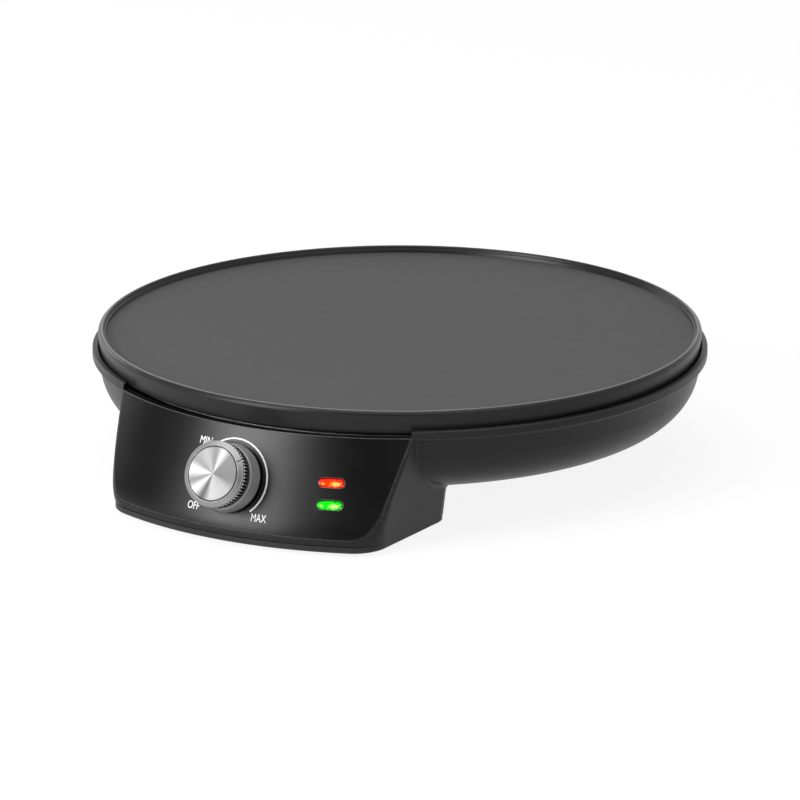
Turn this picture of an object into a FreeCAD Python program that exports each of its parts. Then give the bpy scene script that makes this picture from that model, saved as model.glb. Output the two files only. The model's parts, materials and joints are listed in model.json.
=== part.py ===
import FreeCAD, Part
import math
import os

Vec = FreeCAD.Vector
UP = Vec(0, 0, 1)

# Electric crepe maker: a round cast plate on a black moulded bowl, with a control box
# under its front edge. Sizes are in millimetres. Heights are measured up from the table.
# Inside this file the plate's axis is the Z axis and the control box faces -Y.
# Each piece is moved to the part's own frame when it is written out.

# Cooking plate
crest_height = 66.0            # top of the plate's rim above the table
plate_radius = 150.0
rim_outer_width = 2.2          # from the crest of the rim out to the plate's edge
rim_inner_width = 2.2          # from the crest in to the edge of the flat cooking face
cooking_depth = 3.5            # how far the cooking face lies below the rim
plate_thickness = 5.0
skirt_height = 11.0            # outer wall of the plate
skirt_wall = 3.2
skirt_draft = 1.1              # how much the skirt draws in from top to bottom
rim_shoulder = 2.2             # height of the rounding outside the crest
rim_step_drop = 1.7            # small step inside the rim
rim_step_width = 0.6
rim_crest_rounding = 0.3
rim_inner_drop = 0.6           # how far the rim's inner edge lies below its crest
skirt_root = 0.8               # how much thicker the skirt and the ribs are at their root
join_overlap = 1.0             # how far parts of one casting reach into each other

# Heating element and the cast rib that holds it
element_loop_radius = 95.0
element_tube_radius = 3.3      # half the width across the flats of the pressed tube
element_flats = 8
element_gap_angle = 13.0       # from the front to each end of the loop
element_bend_radius = 9.0
element_leg_drop = 5.4         # how far the legs reach below the shield
element_groove_play = 0.05
rib_width = 13.0
rib_depth = 5.0
terminal_pin_radius = 1.5
terminal_pin_length = 9.0
terminal_bead_radius = 3.3
terminal_bead_length = 3.0
tab_width = 6.3
tab_thickness = 0.8
tab_length = 8.0
tab_lap = 2.0                  # how far a tab runs up beside its pin

# Bowl of the housing
flange_width = 2.8             # from the shadow gap out to the edge of the flange
flange_edge_chamfer = 0.5
flange_lower_chamfer = 0.7
flange_drip = 1.0              # slope from the flange's lower edge in to the wall
seat_step = 1.2                # height of the inner step that the wall thickens by
plate_stand_proud = 9.1        # how far the rim crest stands above the flange
plate_gap = 1.2                # shadow gap between the plate's skirt and the flange
flange_height = 4.6
flange_step = 2.0              # how far the bowl's wall lies inside the flange
bowl_draft = 2.9               # how much the wall draws in before it curves under
bowl_wall_height = 9.8
bowl_curve_width = 35.4        # the curve from the wall to the flat underside
bowl_underside = 19.8          # height of the flat underside
bowl_curve_pull = 0.56         # fullness of that curve
bowl_inner_runs = 5            # straight runs that follow the curve on the inside
housing_wall = 2.5

# Control box under the front of the bowl
panel_drop = 3.2               # how far the panel's top lies below the flange's top
panel_tilt = 22.5              # lean of the front, in degrees from upright
panel_bottom = 7.8
chin_bottom = 4.9              # lower edge of the housing under the panel
chin_inset = 0.4
box_back = 87.0                # from the plate's axis to the back wall of the box
box_back_half_width = 77.1     # half width of the box at its back and at the table
box_side_lean = 7.4            # degrees that the sides lean outwards going up
box_side_taper = 3.1           # degrees that the sides close towards the front
box_corner_top = 2.0           # rounding between front and side at the top
box_corner_bottom = 18.0       # the same rounding at the chin
box_back_corner = 9.0
box_blend = 3.0                # rounding where the box meets the bowl
box_corner_power = 4           # how late the corner rounding grows on its way down
box_steps = 6                  # outlines that the box is drawn through, less one
box_back_strip = 20.0          # how far the bowl keeps its wall in front of the box's back

# Front panel
panel_thickness = 3.0
panel_margin = 1.5             # housing that shows beside the panel
panel_corner = 13.0
panel_play = 0.25
panel_notch_depth = 0.3        # how far the housing is lowered over the panel's top edge
panel_recess_radius = 17.4     # shallow round seat for the knob
panel_recess_depth = 1.0
shaft_hole_radius = 4.2
shaft_room = 2.6               # how much wider the hole in the housing behind the panel is

# Knob, measured outwards along its own axis from the panel's face
knob_height_on_panel = 30.4    # height of the knob's axis where it meets the panel
knob_lift = 0.9
skirt_radius_base = 16.5
skirt_radius_top = 16.05
knob_skirt_top = 9.3
grip_radius = 15.95
grip_tooth_depth = 0.75
grip_teeth = 60
grip_flank = 0.22              # share of the tooth pitch that each flank takes
grip_top = 15.7
bezel_edge = 16.7
bezel_inner_radius = 13.25
bezel_top = 18.1
bezel_notch_width = 1.1
bezel_notch_depth = 0.5
index_bearing = 58.0           # rest direction of the index notch, clockwise from up
cap_radius = 13.1
cap_top = 18.3
cap_dish = 0.35
cap_edge = 0.45                # small bevel round the disc
knob_wall = 1.6
knob_seam = 0.1
knob_edge_round = 0.5
bezel_bevel = 0.3
core_start = 0.4               # how far the core's foot lies above the skirt's
core_hub_radius = 5.4
core_web = 2.2
core_rib = 1.4
core_sleeve_wall = 1.8
shaft_radius = 3.0
shaft_flat = 1.2               # depth of the flat that drives the knob
shaft_top = 13.4
shaft_flat_start = 1.9         # where the flat begins, outwards from the panel
bore_play = 0.05

# Thermostat behind the panel, measured inwards along the knob's axis
bracket_depth = 9.0
bracket_sheet = 1.0
bracket_width = 62.0
bracket_height = 17.0
bracket_corner = 4.0
bracket_post_radius = 3.4
bracket_screw_grip = 4.0
bracket_screw_spacing = 50.0
thermostat_width = 33.0
thermostat_height = 23.0
thermostat_length = 18.0
thermostat_corner = 2.0
thermostat_tab_length = 7.0
thermostat_tab_place = 8.0     # from the thermostat's middle across to its tabs
thermostat_tab_spread = 6.0
thermostat_bush_radius = 5.0
thermostat_nut_across = 14.0
thermostat_nut_height = 2.6
bush_proud = 0.3               # how far the bush stands out of its nut
shaft_socket = 5.0             # how deep the shaft runs inside the thermostat
shaft_end_gap = 0.5

# Signal lamps
lamp_from_edge = 27.0          # from the corner of the box in to the lamps
lamp_height_red = 33.4
lamp_height_green = 23.6
lens_length = 12.7
lens_width = 4.5
lens_sink = 0.3
lens_play = 0.12
lens_seat_gap = 0.2
lens_flange_length = 16.5
lens_flange_width = 7.6
lens_flange_thickness = 1.1
lamp_window_length = 18.4
lamp_window_margin = 1.4
holder_sheet = 2.0
holder_overlap = 2.6
holder_seat_gap = 0.9          # room for the curve of the housing's wall
holder_sleeve_wall = 1.1
holder_sleeve_length = 11.0
neon_radius = 2.9
neon_length = 12.5
neon_tip_radius = 1.4
neon_play = 0.15
lens_clearance = 0.5           # from a lens's flange to the nose of its lamp

# Bottom cover, feet and cord inlet
pad_height = 1.8               # rubber that shows below the cover and the legs
pad_radius = 7.0
pad_sink = 1.2
pad_from_post = 11.0           # from a front screw post in to its pad
pad_inset = 15.5               # from the box's front to the middle of a pad
pad_chamfer = 0.5
pad_play = 0.05
rear_pad_growth = 1.0          # how much larger the rear pads are
cover_thickness = 2.4
cover_seam = 0.2
cover_lip_height = 1.2
cover_lip_wall = 1.4
cover_lip_play = 0.3
cover_edge_chamfer = 0.6
cover_post_radius = 4.2
cover_post_back = 12.0         # from the box's back wall to the rear screw posts
cover_post_front = 11.8        # from the box's front edge to the front screw posts
cover_post_side = 1.0          # from a post to the side wall
cover_post_rise = 14.0         # how far the posts reach above the bowl's floor
cover_screw_grip = 7.0
cover_head_proud = 0.4         # how much less than a head's height its well is deep
cover_head_trim = 0.5          # how much flatter the cover's screw heads are
post_play = 0.3
leg_spread = 65.0              # half the distance between the rear legs
leg_behind = 73.0              # from the plate's axis back to the rear legs
leg_top_radius = 13.0
leg_bottom_radius = 10.5
leg_seat = 0.55                # share of the leg's height at which its screw head sits
leg_boss_radius = 5.0
leg_boss_rise = 9.0
leg_screw_grip = 7.0
gland_from_middle = 45.0
gland_height = 10.8
gland_bore_radius = 3.4
gland_body_radius = 4.7
gland_flange_radius = 5.9
gland_flange_thickness = 1.8
gland_tail = 3.2
gland_play = 0.05

# Heat shield, spacers and fasteners
shield_drop = 9.6              # from the plate's lower edge down to the shield
shield_sheet = 0.6
shield_slope_width = 22.2      # sloping part of the dish
shield_rise = 6.4
shield_clearance = 1.9         # from the shield's lip to the bowl's inner wall
shield_leg_hole_play = 2.5
shield_lip = 3.4
fixing_radius = 70.0           # circle of the three plate fixings
fixing_boss_radius = 6.0
fixing_boss_drop = 8.0
fixing_post_radius = 6.8
fixing_seat_rise = 5.0         # height of the screw heads above the bowl's floor
fixing_well_play = 0.6
screw_radius = 2.0
screw_head_radius = 3.8
screw_head_height = 2.4
screw_play = 0.25
screw_grip = 5.0               # how far the screw goes into the plate's boss
spacer_wall = 2.2
small_screw_radius = 1.45
small_head_radius = 2.7
small_head_height = 1.7
hole_play = 0.05
head_overlap = 0.5             # how far a screw's shank runs into its head
hole_overrun = 1.0             # how far a cutting tool passes the face it opens

# Sensing parts under the plate
cutout_forward = 40.0
cutout_radius = 8.0
cutout_cap_height = 2.4
cutout_body_height = 6.0
cutout_pad_drop = 3.0
cutout_pad_rim = 2.0           # how much wider the cast pad is than the cut-out
cutout_step = 0.8
cutout_tab_place = 4.4
cutout_hole_play = 3.0
bulb_from_element = 20.0       # from the element's loop in to the bulb
bulb_radius = 2.5
bulb_length = 56.0
bulb_gap = 0.1                 # between the bulb and the plate, and round it in its clip
clip_sheet = 0.6
clip_width = 12.0
clip_foot = 9.0
capillary_radius = 1.0
capillary_across = 9.0         # from the thermostat's middle to where the tube enters it
capillary_up = 4.0
capillary_lead = 9.0
capillary_hole_radius = 6.0

# Terminal block
block_from_middle = 46.0
block_from_back = 29.0         # from the box's back wall to the block's middle
block_length = 30.0
block_width = 17.0
block_height = 12.0
block_ways = 3
block_bore_radius = 2.2
block_bore_height = 4.5
block_screw_radius = 1.7
block_screw_floor = 7.0
block_screw_place = 3.0
block_slot = 1.2
block_slot_floor = 8.0

# Heights and places that follow from the sizes above
flange_top = crest_height - plate_stand_proud
plate_bottom = crest_height - skirt_height
cooking_face = crest_height - cooking_depth
plate_underside = cooking_face - plate_thickness
panel_top = flange_top - panel_drop
cover_bottom = pad_height
cover_top = chin_bottom - cover_seam
bowl_floor = bowl_underside + housing_wall
rim_crest_radius = plate_radius - rim_outer_width
cooking_radius = rim_crest_radius - rim_inner_width
flange_inner_radius = plate_radius - skirt_draft + plate_gap
flange_radius = flange_inner_radius + flange_width
tilt = math.radians(panel_tilt)
panel_depth = panel_thickness / math.cos(tilt)
wall_depth = housing_wall / math.cos(tilt)
play_depth = panel_play / math.cos(tilt)
element_height = plate_underside - element_tube_radius
shield_height = plate_bottom - shield_drop
element_leg_bottom = shield_height - element_leg_drop
bulb_forward = element_loop_radius - bulb_from_element
bulb_height = plate_underside - bulb_radius - bulb_gap
post_seat = bowl_floor + fixing_seat_rise
cover_floor = cover_bottom + cover_thickness
far_enough = 2.0 * crest_height    # length of cutting tools that only have to pass through


def front_radius(height):
    """distance from the plate's axis to the sloping front of the control box"""
    level = max(height, panel_bottom)
    radius = flange_radius + (panel_top - level) * math.tan(tilt)
    return radius - chin_inset if height < panel_bottom else radius


def knob_profile():
    """outer corners of the knob as radius and height over the panel"""
    return [(skirt_radius_base, knob_lift), (grip_radius, bezel_edge), (cap_radius, cap_top)]


def front_reach():
    """distance from the plate's axis to the foremost point, which is on the knob"""
    base = front_radius(knob_height_on_panel)
    reaches = [base + h * math.cos(tilt) + r * math.sin(tilt) for r, h in knob_profile()]
    return max(reaches + [front_radius(panel_bottom)])


# The part's own origin is on the table, under the middle of its bounding box
axis_shift = (front_reach() - flange_radius) / 2.0


def trace(start, moves):
    """closed outline in the XZ plane: one point a line, two an arc, three a curve"""
    here = Vec(start[0], 0, start[1])
    first = here
    edges = []
    for move in moves:
        points = [Vec(x, 0, z) for x, z in move]
        if len(points) == 1:
            edges.append(Part.makeLine(here, points[0]))
        elif len(points) == 2:
            edges.append(Part.Arc(here, points[0], points[1]).toShape())
        else:
            curve = Part.BezierCurve()
            curve.setPoles([here] + points)
            edges.append(curve.toShape())
        here = points[-1]
    if here.distanceToPoint(first) > 1e-6:
        edges.append(Part.makeLine(here, first))
    return Part.Wire(edges)


def turned(start, moves):
    """solid of revolution about the Z axis from an outline in the XZ plane"""
    return Part.Face(trace(start, moves)).revolve(Vec(0, 0, 0), UP, 360)


def turned_points(points):
    """solid of revolution from straight runs between the given corners"""
    return turned(points[0], [(point,) for point in points[1:]])


def rod(radius, bottom, top, x=0.0, y=0.0):
    """upright cylinder between two heights"""
    return Part.makeCylinder(radius, top - bottom, Vec(x, y, bottom))


def tube(outer, inner, bottom, top, x=0.0, y=0.0):
    return rod(outer, bottom, top, x, y).cut(rod(inner, bottom, top, x, y))


def block(x_size, y_size, bottom, top, x=0.0, y=0.0):
    """upright box centred on x and y"""
    corner = Vec(x - x_size / 2.0, y - y_size / 2.0, bottom)
    return Part.makeBox(x_size, y_size, top - bottom, corner)


def together(shapes):
    """one solid from several that overlap"""
    whole = shapes[0]
    for shape in shapes[1:]:
        whole = whole.fuse(shape)
    return whole.removeSplitter()


def group(shapes):
    """several separate solids in one piece of the list"""
    return Part.makeCompound(shapes)


def panel_frame(bearing, height):
    """frame on the panel's face, with Z outwards and Y up the slope"""
    turn = math.radians(bearing)
    across = Vec(math.cos(turn), math.sin(turn), 0)
    ahead = Vec(math.sin(turn), -math.cos(turn), 0)
    outwards = ahead * math.cos(tilt) + UP * math.sin(tilt)
    upwards = UP * math.cos(tilt) - ahead * math.sin(tilt)
    place = ahead * front_radius(height) + UP * height
    return FreeCAD.Placement(place, FreeCAD.Rotation(across, upwards, outwards))


def on_panel(shape, bearing, height):
    """moves a shape that was made in the panel's frame to its place"""
    moved = shape.copy()
    moved.Placement = panel_frame(bearing, height)
    return moved


def pill(length, width, bottom, top):
    """flat slab with round ends, lying along X"""
    half = length / 2.0 - width / 2.0
    radius = width / 2.0
    edges = [
        Part.makeLine(Vec(-half, -radius, bottom), Vec(half, -radius, bottom)),
        Part.Arc(Vec(half, -radius, bottom), Vec(half + radius, 0, bottom),
                 Vec(half, radius, bottom)).toShape(),
        Part.makeLine(Vec(half, radius, bottom), Vec(-half, radius, bottom)),
        Part.Arc(Vec(-half, radius, bottom), Vec(-half - radius, 0, bottom),
                 Vec(-half, -radius, bottom)).toShape(),
    ]
    return Part.Face(Part.Wire(edges)).extrude(UP * (top - bottom))


def routed_tube(points, radius):
    """round tube along straight runs joined by tangent arcs"""
    edges = []
    here = points[0]
    for before, corner, after in zip(points, points[1:], points[2:]):
        back = (before - corner).normalize()
        on = (after - corner).normalize()
        half_turn = (math.pi - back.getAngle(on)) / 2.0
        run = min(before.distanceToPoint(corner), corner.distanceToPoint(after))
        reach = 0.45 * run
        bend = reach / math.tan(half_turn)
        middle = (back + on).normalize()
        centre = corner + middle * (bend / math.cos(half_turn))
        start = corner + back * reach
        end = corner + on * reach
        edges.append(Part.makeLine(here, start))
        edges.append(Part.Arc(start, centre - middle * bend, end).toShape())
        here = end
    edges.append(Part.makeLine(here, points[-1]))
    path = Part.Wire(edges)
    return swept_circle(path, points[0], points[1] - points[0], radius)


def swept_circle(path, start, direction, radius):
    section = Part.Wire([Part.makeCircle(radius, start, direction)])
    return path.makePipeShell([section], True, False)


# Cooking plate


def fixing_places():
    """one fixing at the back and two towards the front"""
    bearings = [math.radians(angle) for angle in (90, 210, 330)]
    return [(fixing_radius * math.cos(b), fixing_radius * math.sin(b)) for b in bearings]


def rim_shoulder_points():
    """rounding outside the crest, as three narrow bevels"""
    points = []
    for angle in (30, 60, 90):
        turn = math.radians(angle)
        points.append(((rim_crest_radius + rim_outer_width * math.sin(turn),
                        crest_height - rim_shoulder * (1 - math.cos(turn))),))
    return points


def element_groove():
    """channel in the cast rib that the element is pressed into"""
    width = element_tube_radius + element_groove_play
    return tube(element_loop_radius + width, element_loop_radius - width,
                plate_underside - rib_depth - hole_overrun, plate_underside)


def cooking_plate():
    """cast plate with its rim, its skirt, the element's rib and the fixing bosses"""
    step_outer = cooking_radius + 2 * rim_step_width
    skirt_outer = plate_radius - skirt_draft
    body = turned((0, cooking_face), [
        ((cooking_radius, cooking_face),),
        ((cooking_radius + rim_step_width, crest_height - rim_step_drop),),
        ((step_outer, crest_height - rim_step_drop),),
        ((step_outer + rim_crest_rounding, crest_height - rim_inner_drop),),
        ((rim_crest_radius, crest_height),),
    ] + rim_shoulder_points() + [
        ((skirt_outer, plate_bottom),),
        ((skirt_outer - skirt_wall, plate_bottom),),
        ((skirt_outer - skirt_wall - skirt_root, plate_underside),),
        ((0, plate_underside),),
    ])
    outer = element_loop_radius + rib_width / 2.0
    inner = element_loop_radius - rib_width / 2.0
    rib_bottom = plate_underside - rib_depth
    root = plate_underside + join_overlap
    rib = turned_points([
        (inner - skirt_root, root), (outer + skirt_root, root),
        (outer, rib_bottom), (inner, rib_bottom)])
    leg_gap = 2 * element_loop_radius * math.sin(math.radians(element_gap_angle))
    rib = rib.cut(block(leg_gap, 2 * rib_width, rib_bottom - hole_overrun, plate_underside,
                        0, -element_loop_radius))
    boss_bottom = plate_underside - fixing_boss_drop
    bosses = [rod(fixing_boss_radius, boss_bottom, root, x, y) for x, y in fixing_places()]
    cutout_pad = rod(cutout_radius + cutout_pad_rim, plate_underside - cutout_pad_drop,
                     root, 0, -cutout_forward)
    plate = together([body, rib, cutout_pad] + bosses).cut(element_groove())
    for x, y in fixing_places():
        plate = plate.cut(rod(screw_radius + hole_play, boss_bottom,
                              boss_bottom + screw_grip + hole_overrun, x, y))
    return plate


def element_ends():
    """for each end of the loop: where it starts, its direction, and the top of its leg"""
    gap = math.radians(element_gap_angle)
    ends = []
    for side in (1, -1):
        start = Vec(side * element_loop_radius * math.sin(gap),
                    -element_loop_radius * math.cos(gap), element_height)
        along = Vec(side * math.cos(gap), math.sin(gap), 0)
        leg_top = start - along * element_bend_radius - UP * element_bend_radius
        ends.append((start, along, leg_top))
    return ends


def element_feet():
    return [Vec(leg_top.x, leg_top.y, element_leg_bottom) for _, _, leg_top in element_ends()]


def tube_section(centre, across, upwards):
    """face of the pressed tube: a circle flattened to eight sides"""
    reach = element_tube_radius / math.cos(math.pi / element_flats)
    corners = []
    for k in range(element_flats):
        turn = 2 * math.pi * (k + 0.5) / element_flats
        corners.append(centre + across * (reach * math.cos(turn)) + upwards * (reach * math.sin(turn)))
    return Part.Face(Part.makePolygon(corners + [corners[0]]))


def heating_element():
    """long loop under the plate, with both ends bent down into legs"""
    parts = []
    for start, along, leg_top in element_ends():
        radial = Vec(start.x, start.y, 0).normalize()
        centre = start - UP * element_bend_radius
        parts.append(tube_section(start, radial, UP).revolve(centre, along.cross(UP), 90))
        leg = tube_section(leg_top, radial, along)
        parts.append(leg.extrude(UP * (element_leg_bottom - leg_top.z)))
    start = element_ends()[0][0]
    radial = Vec(start.x, start.y, 0).normalize()
    loop = tube_section(start, radial, UP).revolve(Vec(0, 0, 0), UP, 360 - 2 * element_gap_angle)
    return together([loop] + parts)


def element_terminals():
    """ceramic bead, pin and flat tab at each end of the tube"""
    solids = []
    for foot in element_feet():
        bead_bottom = foot.z - terminal_bead_length
        pin_bottom = foot.z - terminal_pin_length
        bead = rod(terminal_bead_radius, bead_bottom, foot.z, foot.x, foot.y)
        pin = rod(terminal_pin_radius, pin_bottom, foot.z, foot.x, foot.y)
        tab_top = pin_bottom + tab_lap
        tab = block(tab_thickness, tab_width, tab_top - tab_length, tab_top, foot.x, foot.y)
        solids.append(together([bead, pin, tab]))
    return group(solids)


# Parts under the plate


def sensor_bulb():
    start = Vec(-bulb_length / 2.0, -bulb_forward, bulb_height)
    return Part.makeCylinder(bulb_radius, bulb_length, start, Vec(1, 0, 0))


def sensor_clip():
    """spring strap that holds the bulb up against the plate"""
    centre = bulb_height
    inner = bulb_radius + bulb_gap
    outer = inner + clip_sheet
    start = Vec(-clip_width / 2.0, -bulb_forward, centre)
    shell = Part.makeCylinder(outer, clip_width, start, Vec(1, 0, 0))
    core = Part.makeCylinder(inner, clip_width, start, Vec(1, 0, 0))
    upper = block(clip_width, 2 * outer, centre, centre + 2 * outer, 0, -bulb_forward)
    sides = block(clip_width, 2 * outer, centre, plate_underside, 0, -bulb_forward)
    sides = sides.cut(block(clip_width, 2 * inner, centre, plate_underside, 0, -bulb_forward))
    strap = shell.cut(core).cut(upper).fuse(sides)
    foot_y = -bulb_forward + outer + clip_foot / 2.0 - clip_sheet / 2.0
    foot = block(clip_width, clip_foot, plate_underside - clip_sheet, plate_underside, 0, foot_y)
    foot = foot.cut(rod(small_screw_radius, plate_underside - hole_overrun, plate_underside,
                        0, foot_y))
    return together([strap, foot])


def overheat_cutout():
    """flat bimetal cut-out against its pad under the plate"""
    top = plate_underside - cutout_pad_drop
    cap = rod(cutout_radius, top - cutout_cap_height, top, 0, -cutout_forward)
    body_bottom = top - cutout_cap_height - cutout_body_height
    body = rod(cutout_radius - cutout_step, body_bottom, top - join_overlap, 0, -cutout_forward)
    tab_top = body_bottom + join_overlap
    tab_bottom = tab_top + tab_lap - tab_length
    tabs = [block(tab_thickness, tab_width, tab_bottom, tab_top,
                  side * cutout_tab_place, -cutout_forward) for side in (-1, 1)]
    return together([cap, body] + tabs)


def capillary_points():
    """route from the bulb under the plate to the back of the thermostat"""
    bulb_end = Vec(-bulb_length / 2.0, -bulb_forward, bulb_height)
    back = -bracket_depth - bracket_sheet - thermostat_length
    frame = panel_frame(0, knob_height_on_panel)
    entry = frame.multVec(Vec(-capillary_across, capillary_up, back))
    lead = frame.multVec(Vec(-capillary_across, capillary_up, back - capillary_lead))
    return [
        bulb_end,
        bulb_end + Vec(-8, 0, 0),
        bulb_end + Vec(-12, -3, -9),
        bulb_end + Vec(-12, -14, -19),
        bulb_end + Vec(-3, -32, -28),
        lead,
        entry,
    ]


def capillary_tube():
    return routed_tube(capillary_points(), capillary_radius)


def heat_shield():
    """pressed steel dish between the plate and the bowl"""
    radius = bowl_outline(housing_wall)[1] - shield_clearance
    lip_inner = radius - shield_lip
    flat_radius = lip_inner - shield_slope_width
    low = shield_height
    high = shield_height + shield_rise
    lean = shield_sheet / 2.0
    dish = turned_points([
        (0, low), (flat_radius, low), (lip_inner, high), (radius, high),
        (radius, high + shield_sheet), (lip_inner - lean, high + shield_sheet),
        (flat_radius - lean, low + shield_sheet), (0, low + shield_sheet)])
    places = [(screw_radius + screw_play, x, y) for x, y in fixing_places()]
    places += [(element_tube_radius + shield_leg_hole_play, foot.x, foot.y)
               for foot in element_feet()]
    places.append((cutout_radius + cutout_hole_play, 0, -cutout_forward))
    drop = capillary_points()[2]
    places.append((capillary_hole_radius, drop.x, drop.y - capillary_radius))
    for hole_radius, x, y in places:
        dish = dish.cut(rod(hole_radius, low - hole_overrun, low + shield_sheet + hole_overrun, x, y))
    return dish


def plate_spacers():
    bottom = shield_height + shield_sheet
    top = plate_underside - fixing_boss_drop
    inner = screw_radius + screw_play
    return group([tube(inner + spacer_wall, inner, bottom, top, x, y) for x, y in fixing_places()])


def headed_screw(radius, head_radius, head_height, head_top, tip, x, y):
    """screw driven upwards, with its head below"""
    head = rod(head_radius, head_top - head_height, head_top, x, y)
    return together([head, rod(radius, head_top - head_overlap, tip, x, y)])


def plate_screws():
    tip = plate_underside - fixing_boss_drop + screw_grip
    return group([headed_screw(screw_radius, screw_head_radius, screw_head_height,
                               post_seat, tip, x, y) for x, y in fixing_places()])


# Housing: bowl and control box in one moulding


def bowl_outline(inset):
    """outline of the bowl, moved inwards by the wall for its inside"""
    top_radius = flange_radius - flange_step - inset
    foot_radius = top_radius - bowl_draft
    curve_top = flange_top - flange_height - flange_drip - bowl_wall_height
    bottom = bowl_underside + inset
    width = bowl_curve_width - inset
    height = curve_top - bottom
    pull = bowl_curve_pull
    lean = bowl_draft / bowl_wall_height
    curve = ((foot_radius - lean * pull * height, curve_top - pull * height),
             (foot_radius - width + pull * width, bottom),
             (foot_radius - width, bottom))
    return top_radius, foot_radius, curve_top, curve


def bowl_outside():
    """solid of the bowl up to the top of the control box"""
    top_radius, foot_radius, curve_top, curve = bowl_outline(0)
    return turned((0, panel_top), [
        ((top_radius, panel_top),),
        ((foot_radius, curve_top),),
        curve,
        ((0, curve[2][1]),),
    ])


def flange_band():
    """solid disc with the band that stands out round the top of the bowl"""
    top_radius = bowl_outline(0)[0]
    band_bottom = flange_top - flange_height
    return turned((0, flange_top), [
        ((flange_radius - flange_edge_chamfer, flange_top),),
        ((flange_radius, flange_top - flange_edge_chamfer),),
        ((flange_radius, band_bottom + flange_lower_chamfer),),
        ((flange_radius - flange_lower_chamfer, band_bottom),),
        ((top_radius - flange_edge_chamfer, band_bottom - flange_drip),),
        ((0, band_bottom - flange_drip),),
    ])


def curve_runs(start, curve, count):
    """straight runs between points on a curve, which the hidden inside follows"""
    bezier = Part.BezierCurve()
    bezier.setPoles([Vec(x, 0, z) for x, z in (start,) + curve])
    points = [bezier.value((k + 1.0) / count) for k in range(count)]
    return [((point.x, point.z),) for point in points]


def bowl_inside():
    top_radius, foot_radius, curve_top, curve = bowl_outline(housing_wall)
    ledge = flange_top - flange_height - flange_drip
    open_top = flange_top + hole_overrun
    return turned((0, open_top), [
        ((flange_inner_radius, open_top),),
        ((flange_inner_radius, ledge + seat_step),),
        ((top_radius, ledge),),
        ((foot_radius, curve_top),),
    ] + curve_runs((foot_radius, curve_top), curve, bowl_inner_runs) + [
        ((0, curve[2][1]),),
    ])


def corner_radius(height):
    """rounding between the front and the sides, which grows towards the chin"""
    share = (panel_top - height) / (panel_top - chin_bottom)
    grown = (box_corner_bottom - box_corner_top) * max(share, 0.0) ** box_corner_power
    return box_corner_top + min(grown, box_corner_bottom - box_corner_top)


def side_line(height, inset):
    """side wall as x plus slope times forward equals reach"""
    slope = math.tan(math.radians(box_side_taper))
    lean = math.tan(math.radians(box_side_lean))
    reach = box_back_half_width + lean * height + slope * box_back
    return slope, reach - inset * math.hypot(1.0, slope)


def meeting_point(slope, reach, radius):
    """where the side line crosses a circle about the plate's axis"""
    spread = 1.0 + slope * slope
    root = math.sqrt((reach * slope) ** 2 - spread * (reach * reach - radius * radius))
    forward = (reach * slope + root) / spread
    return reach - slope * forward, forward


def box_section(height, front_inset=0.0, side_inset=0.0, front=None):
    """level outline of the control box: curved front, rounded corners, straight back"""
    radius = (front or front_radius(height)) - front_inset
    slope, reach = side_line(height, side_inset)
    norm = math.hypot(1.0, slope)
    rounding = max(corner_radius(height) - side_inset, 1.0)
    back = box_back + side_inset
    back_rounding = max(box_back_corner - side_inset, 1.0)
    cx, cy = meeting_point(slope, reach - rounding * norm, radius - rounding)
    size = math.hypot(cx, cy)
    front_touch = (cx * radius / size, cy * radius / size)
    side_touch = (cx + rounding / norm, cy + rounding * slope / norm)
    way = (front_touch[0] + side_touch[0] - 2 * cx, front_touch[1] + side_touch[1] - 2 * cy)
    way_size = math.hypot(way[0], way[1])
    corner_mid = (cx + rounding * way[0] / way_size, cy + rounding * way[1] / way_size)
    by = back + back_rounding
    bx = reach - back_rounding * norm - slope * by
    back_side = (bx + back_rounding / norm, by + back_rounding * slope / norm)
    back_touch = (bx, back)
    diagonal = math.sqrt(0.5)
    back_mid = (bx + back_rounding * diagonal, by - back_rounding * diagonal)

    def right(point):
        return Vec(point[0], -point[1], height)

    def left(point):
        return Vec(-point[0], -point[1], height)

    edges = [
        Part.Arc(left(front_touch), Vec(0, -radius, height), right(front_touch)).toShape(),
        Part.Arc(right(front_touch), right(corner_mid), right(side_touch)).toShape(),
        Part.makeLine(right(side_touch), right(back_side)),
        Part.Arc(right(back_side), right(back_mid), right(back_touch)).toShape(),
        Part.makeLine(right(back_touch), left(back_touch)),
        Part.Arc(left(back_touch), left(back_mid), left(back_side)).toShape(),
        Part.makeLine(left(back_side), left(side_touch)),
        Part.Arc(left(side_touch), left(corner_mid), left(front_touch)).toShape(),
    ]
    return Part.Wire(edges)


def box_levels(bottom, top):
    """heights of the outlines that the box is lofted through"""
    return [bottom + (top - bottom) * step / box_steps for step in range(box_steps + 1)]


def box_solid(bottom, top, front_inset=0.0, side_inset=0.0):
    wires = [box_section(level, front_inset, side_inset) for level in box_levels(bottom, top)]
    return Part.makeLoft(wires, True, False)


def front_cone(depth, reach_up=0.0):
    """solid cone behind the box's front, set back by a level distance"""
    top = panel_top + reach_up
    bottom = panel_bottom - panel_thickness
    slope = math.tan(tilt)
    top_radius = flange_radius - reach_up * slope - depth
    bottom_radius = flange_radius + (panel_top - bottom) * slope - depth
    return turned_points([(0, top), (top_radius, top), (bottom_radius, bottom), (0, bottom)])


def panel_corner_width(height):
    """half width of the box's front at a height, before its corners are rounded"""
    slope, reach = side_line(height, 0.0)
    return meeting_point(slope, reach, front_radius(height))[0]


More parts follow.
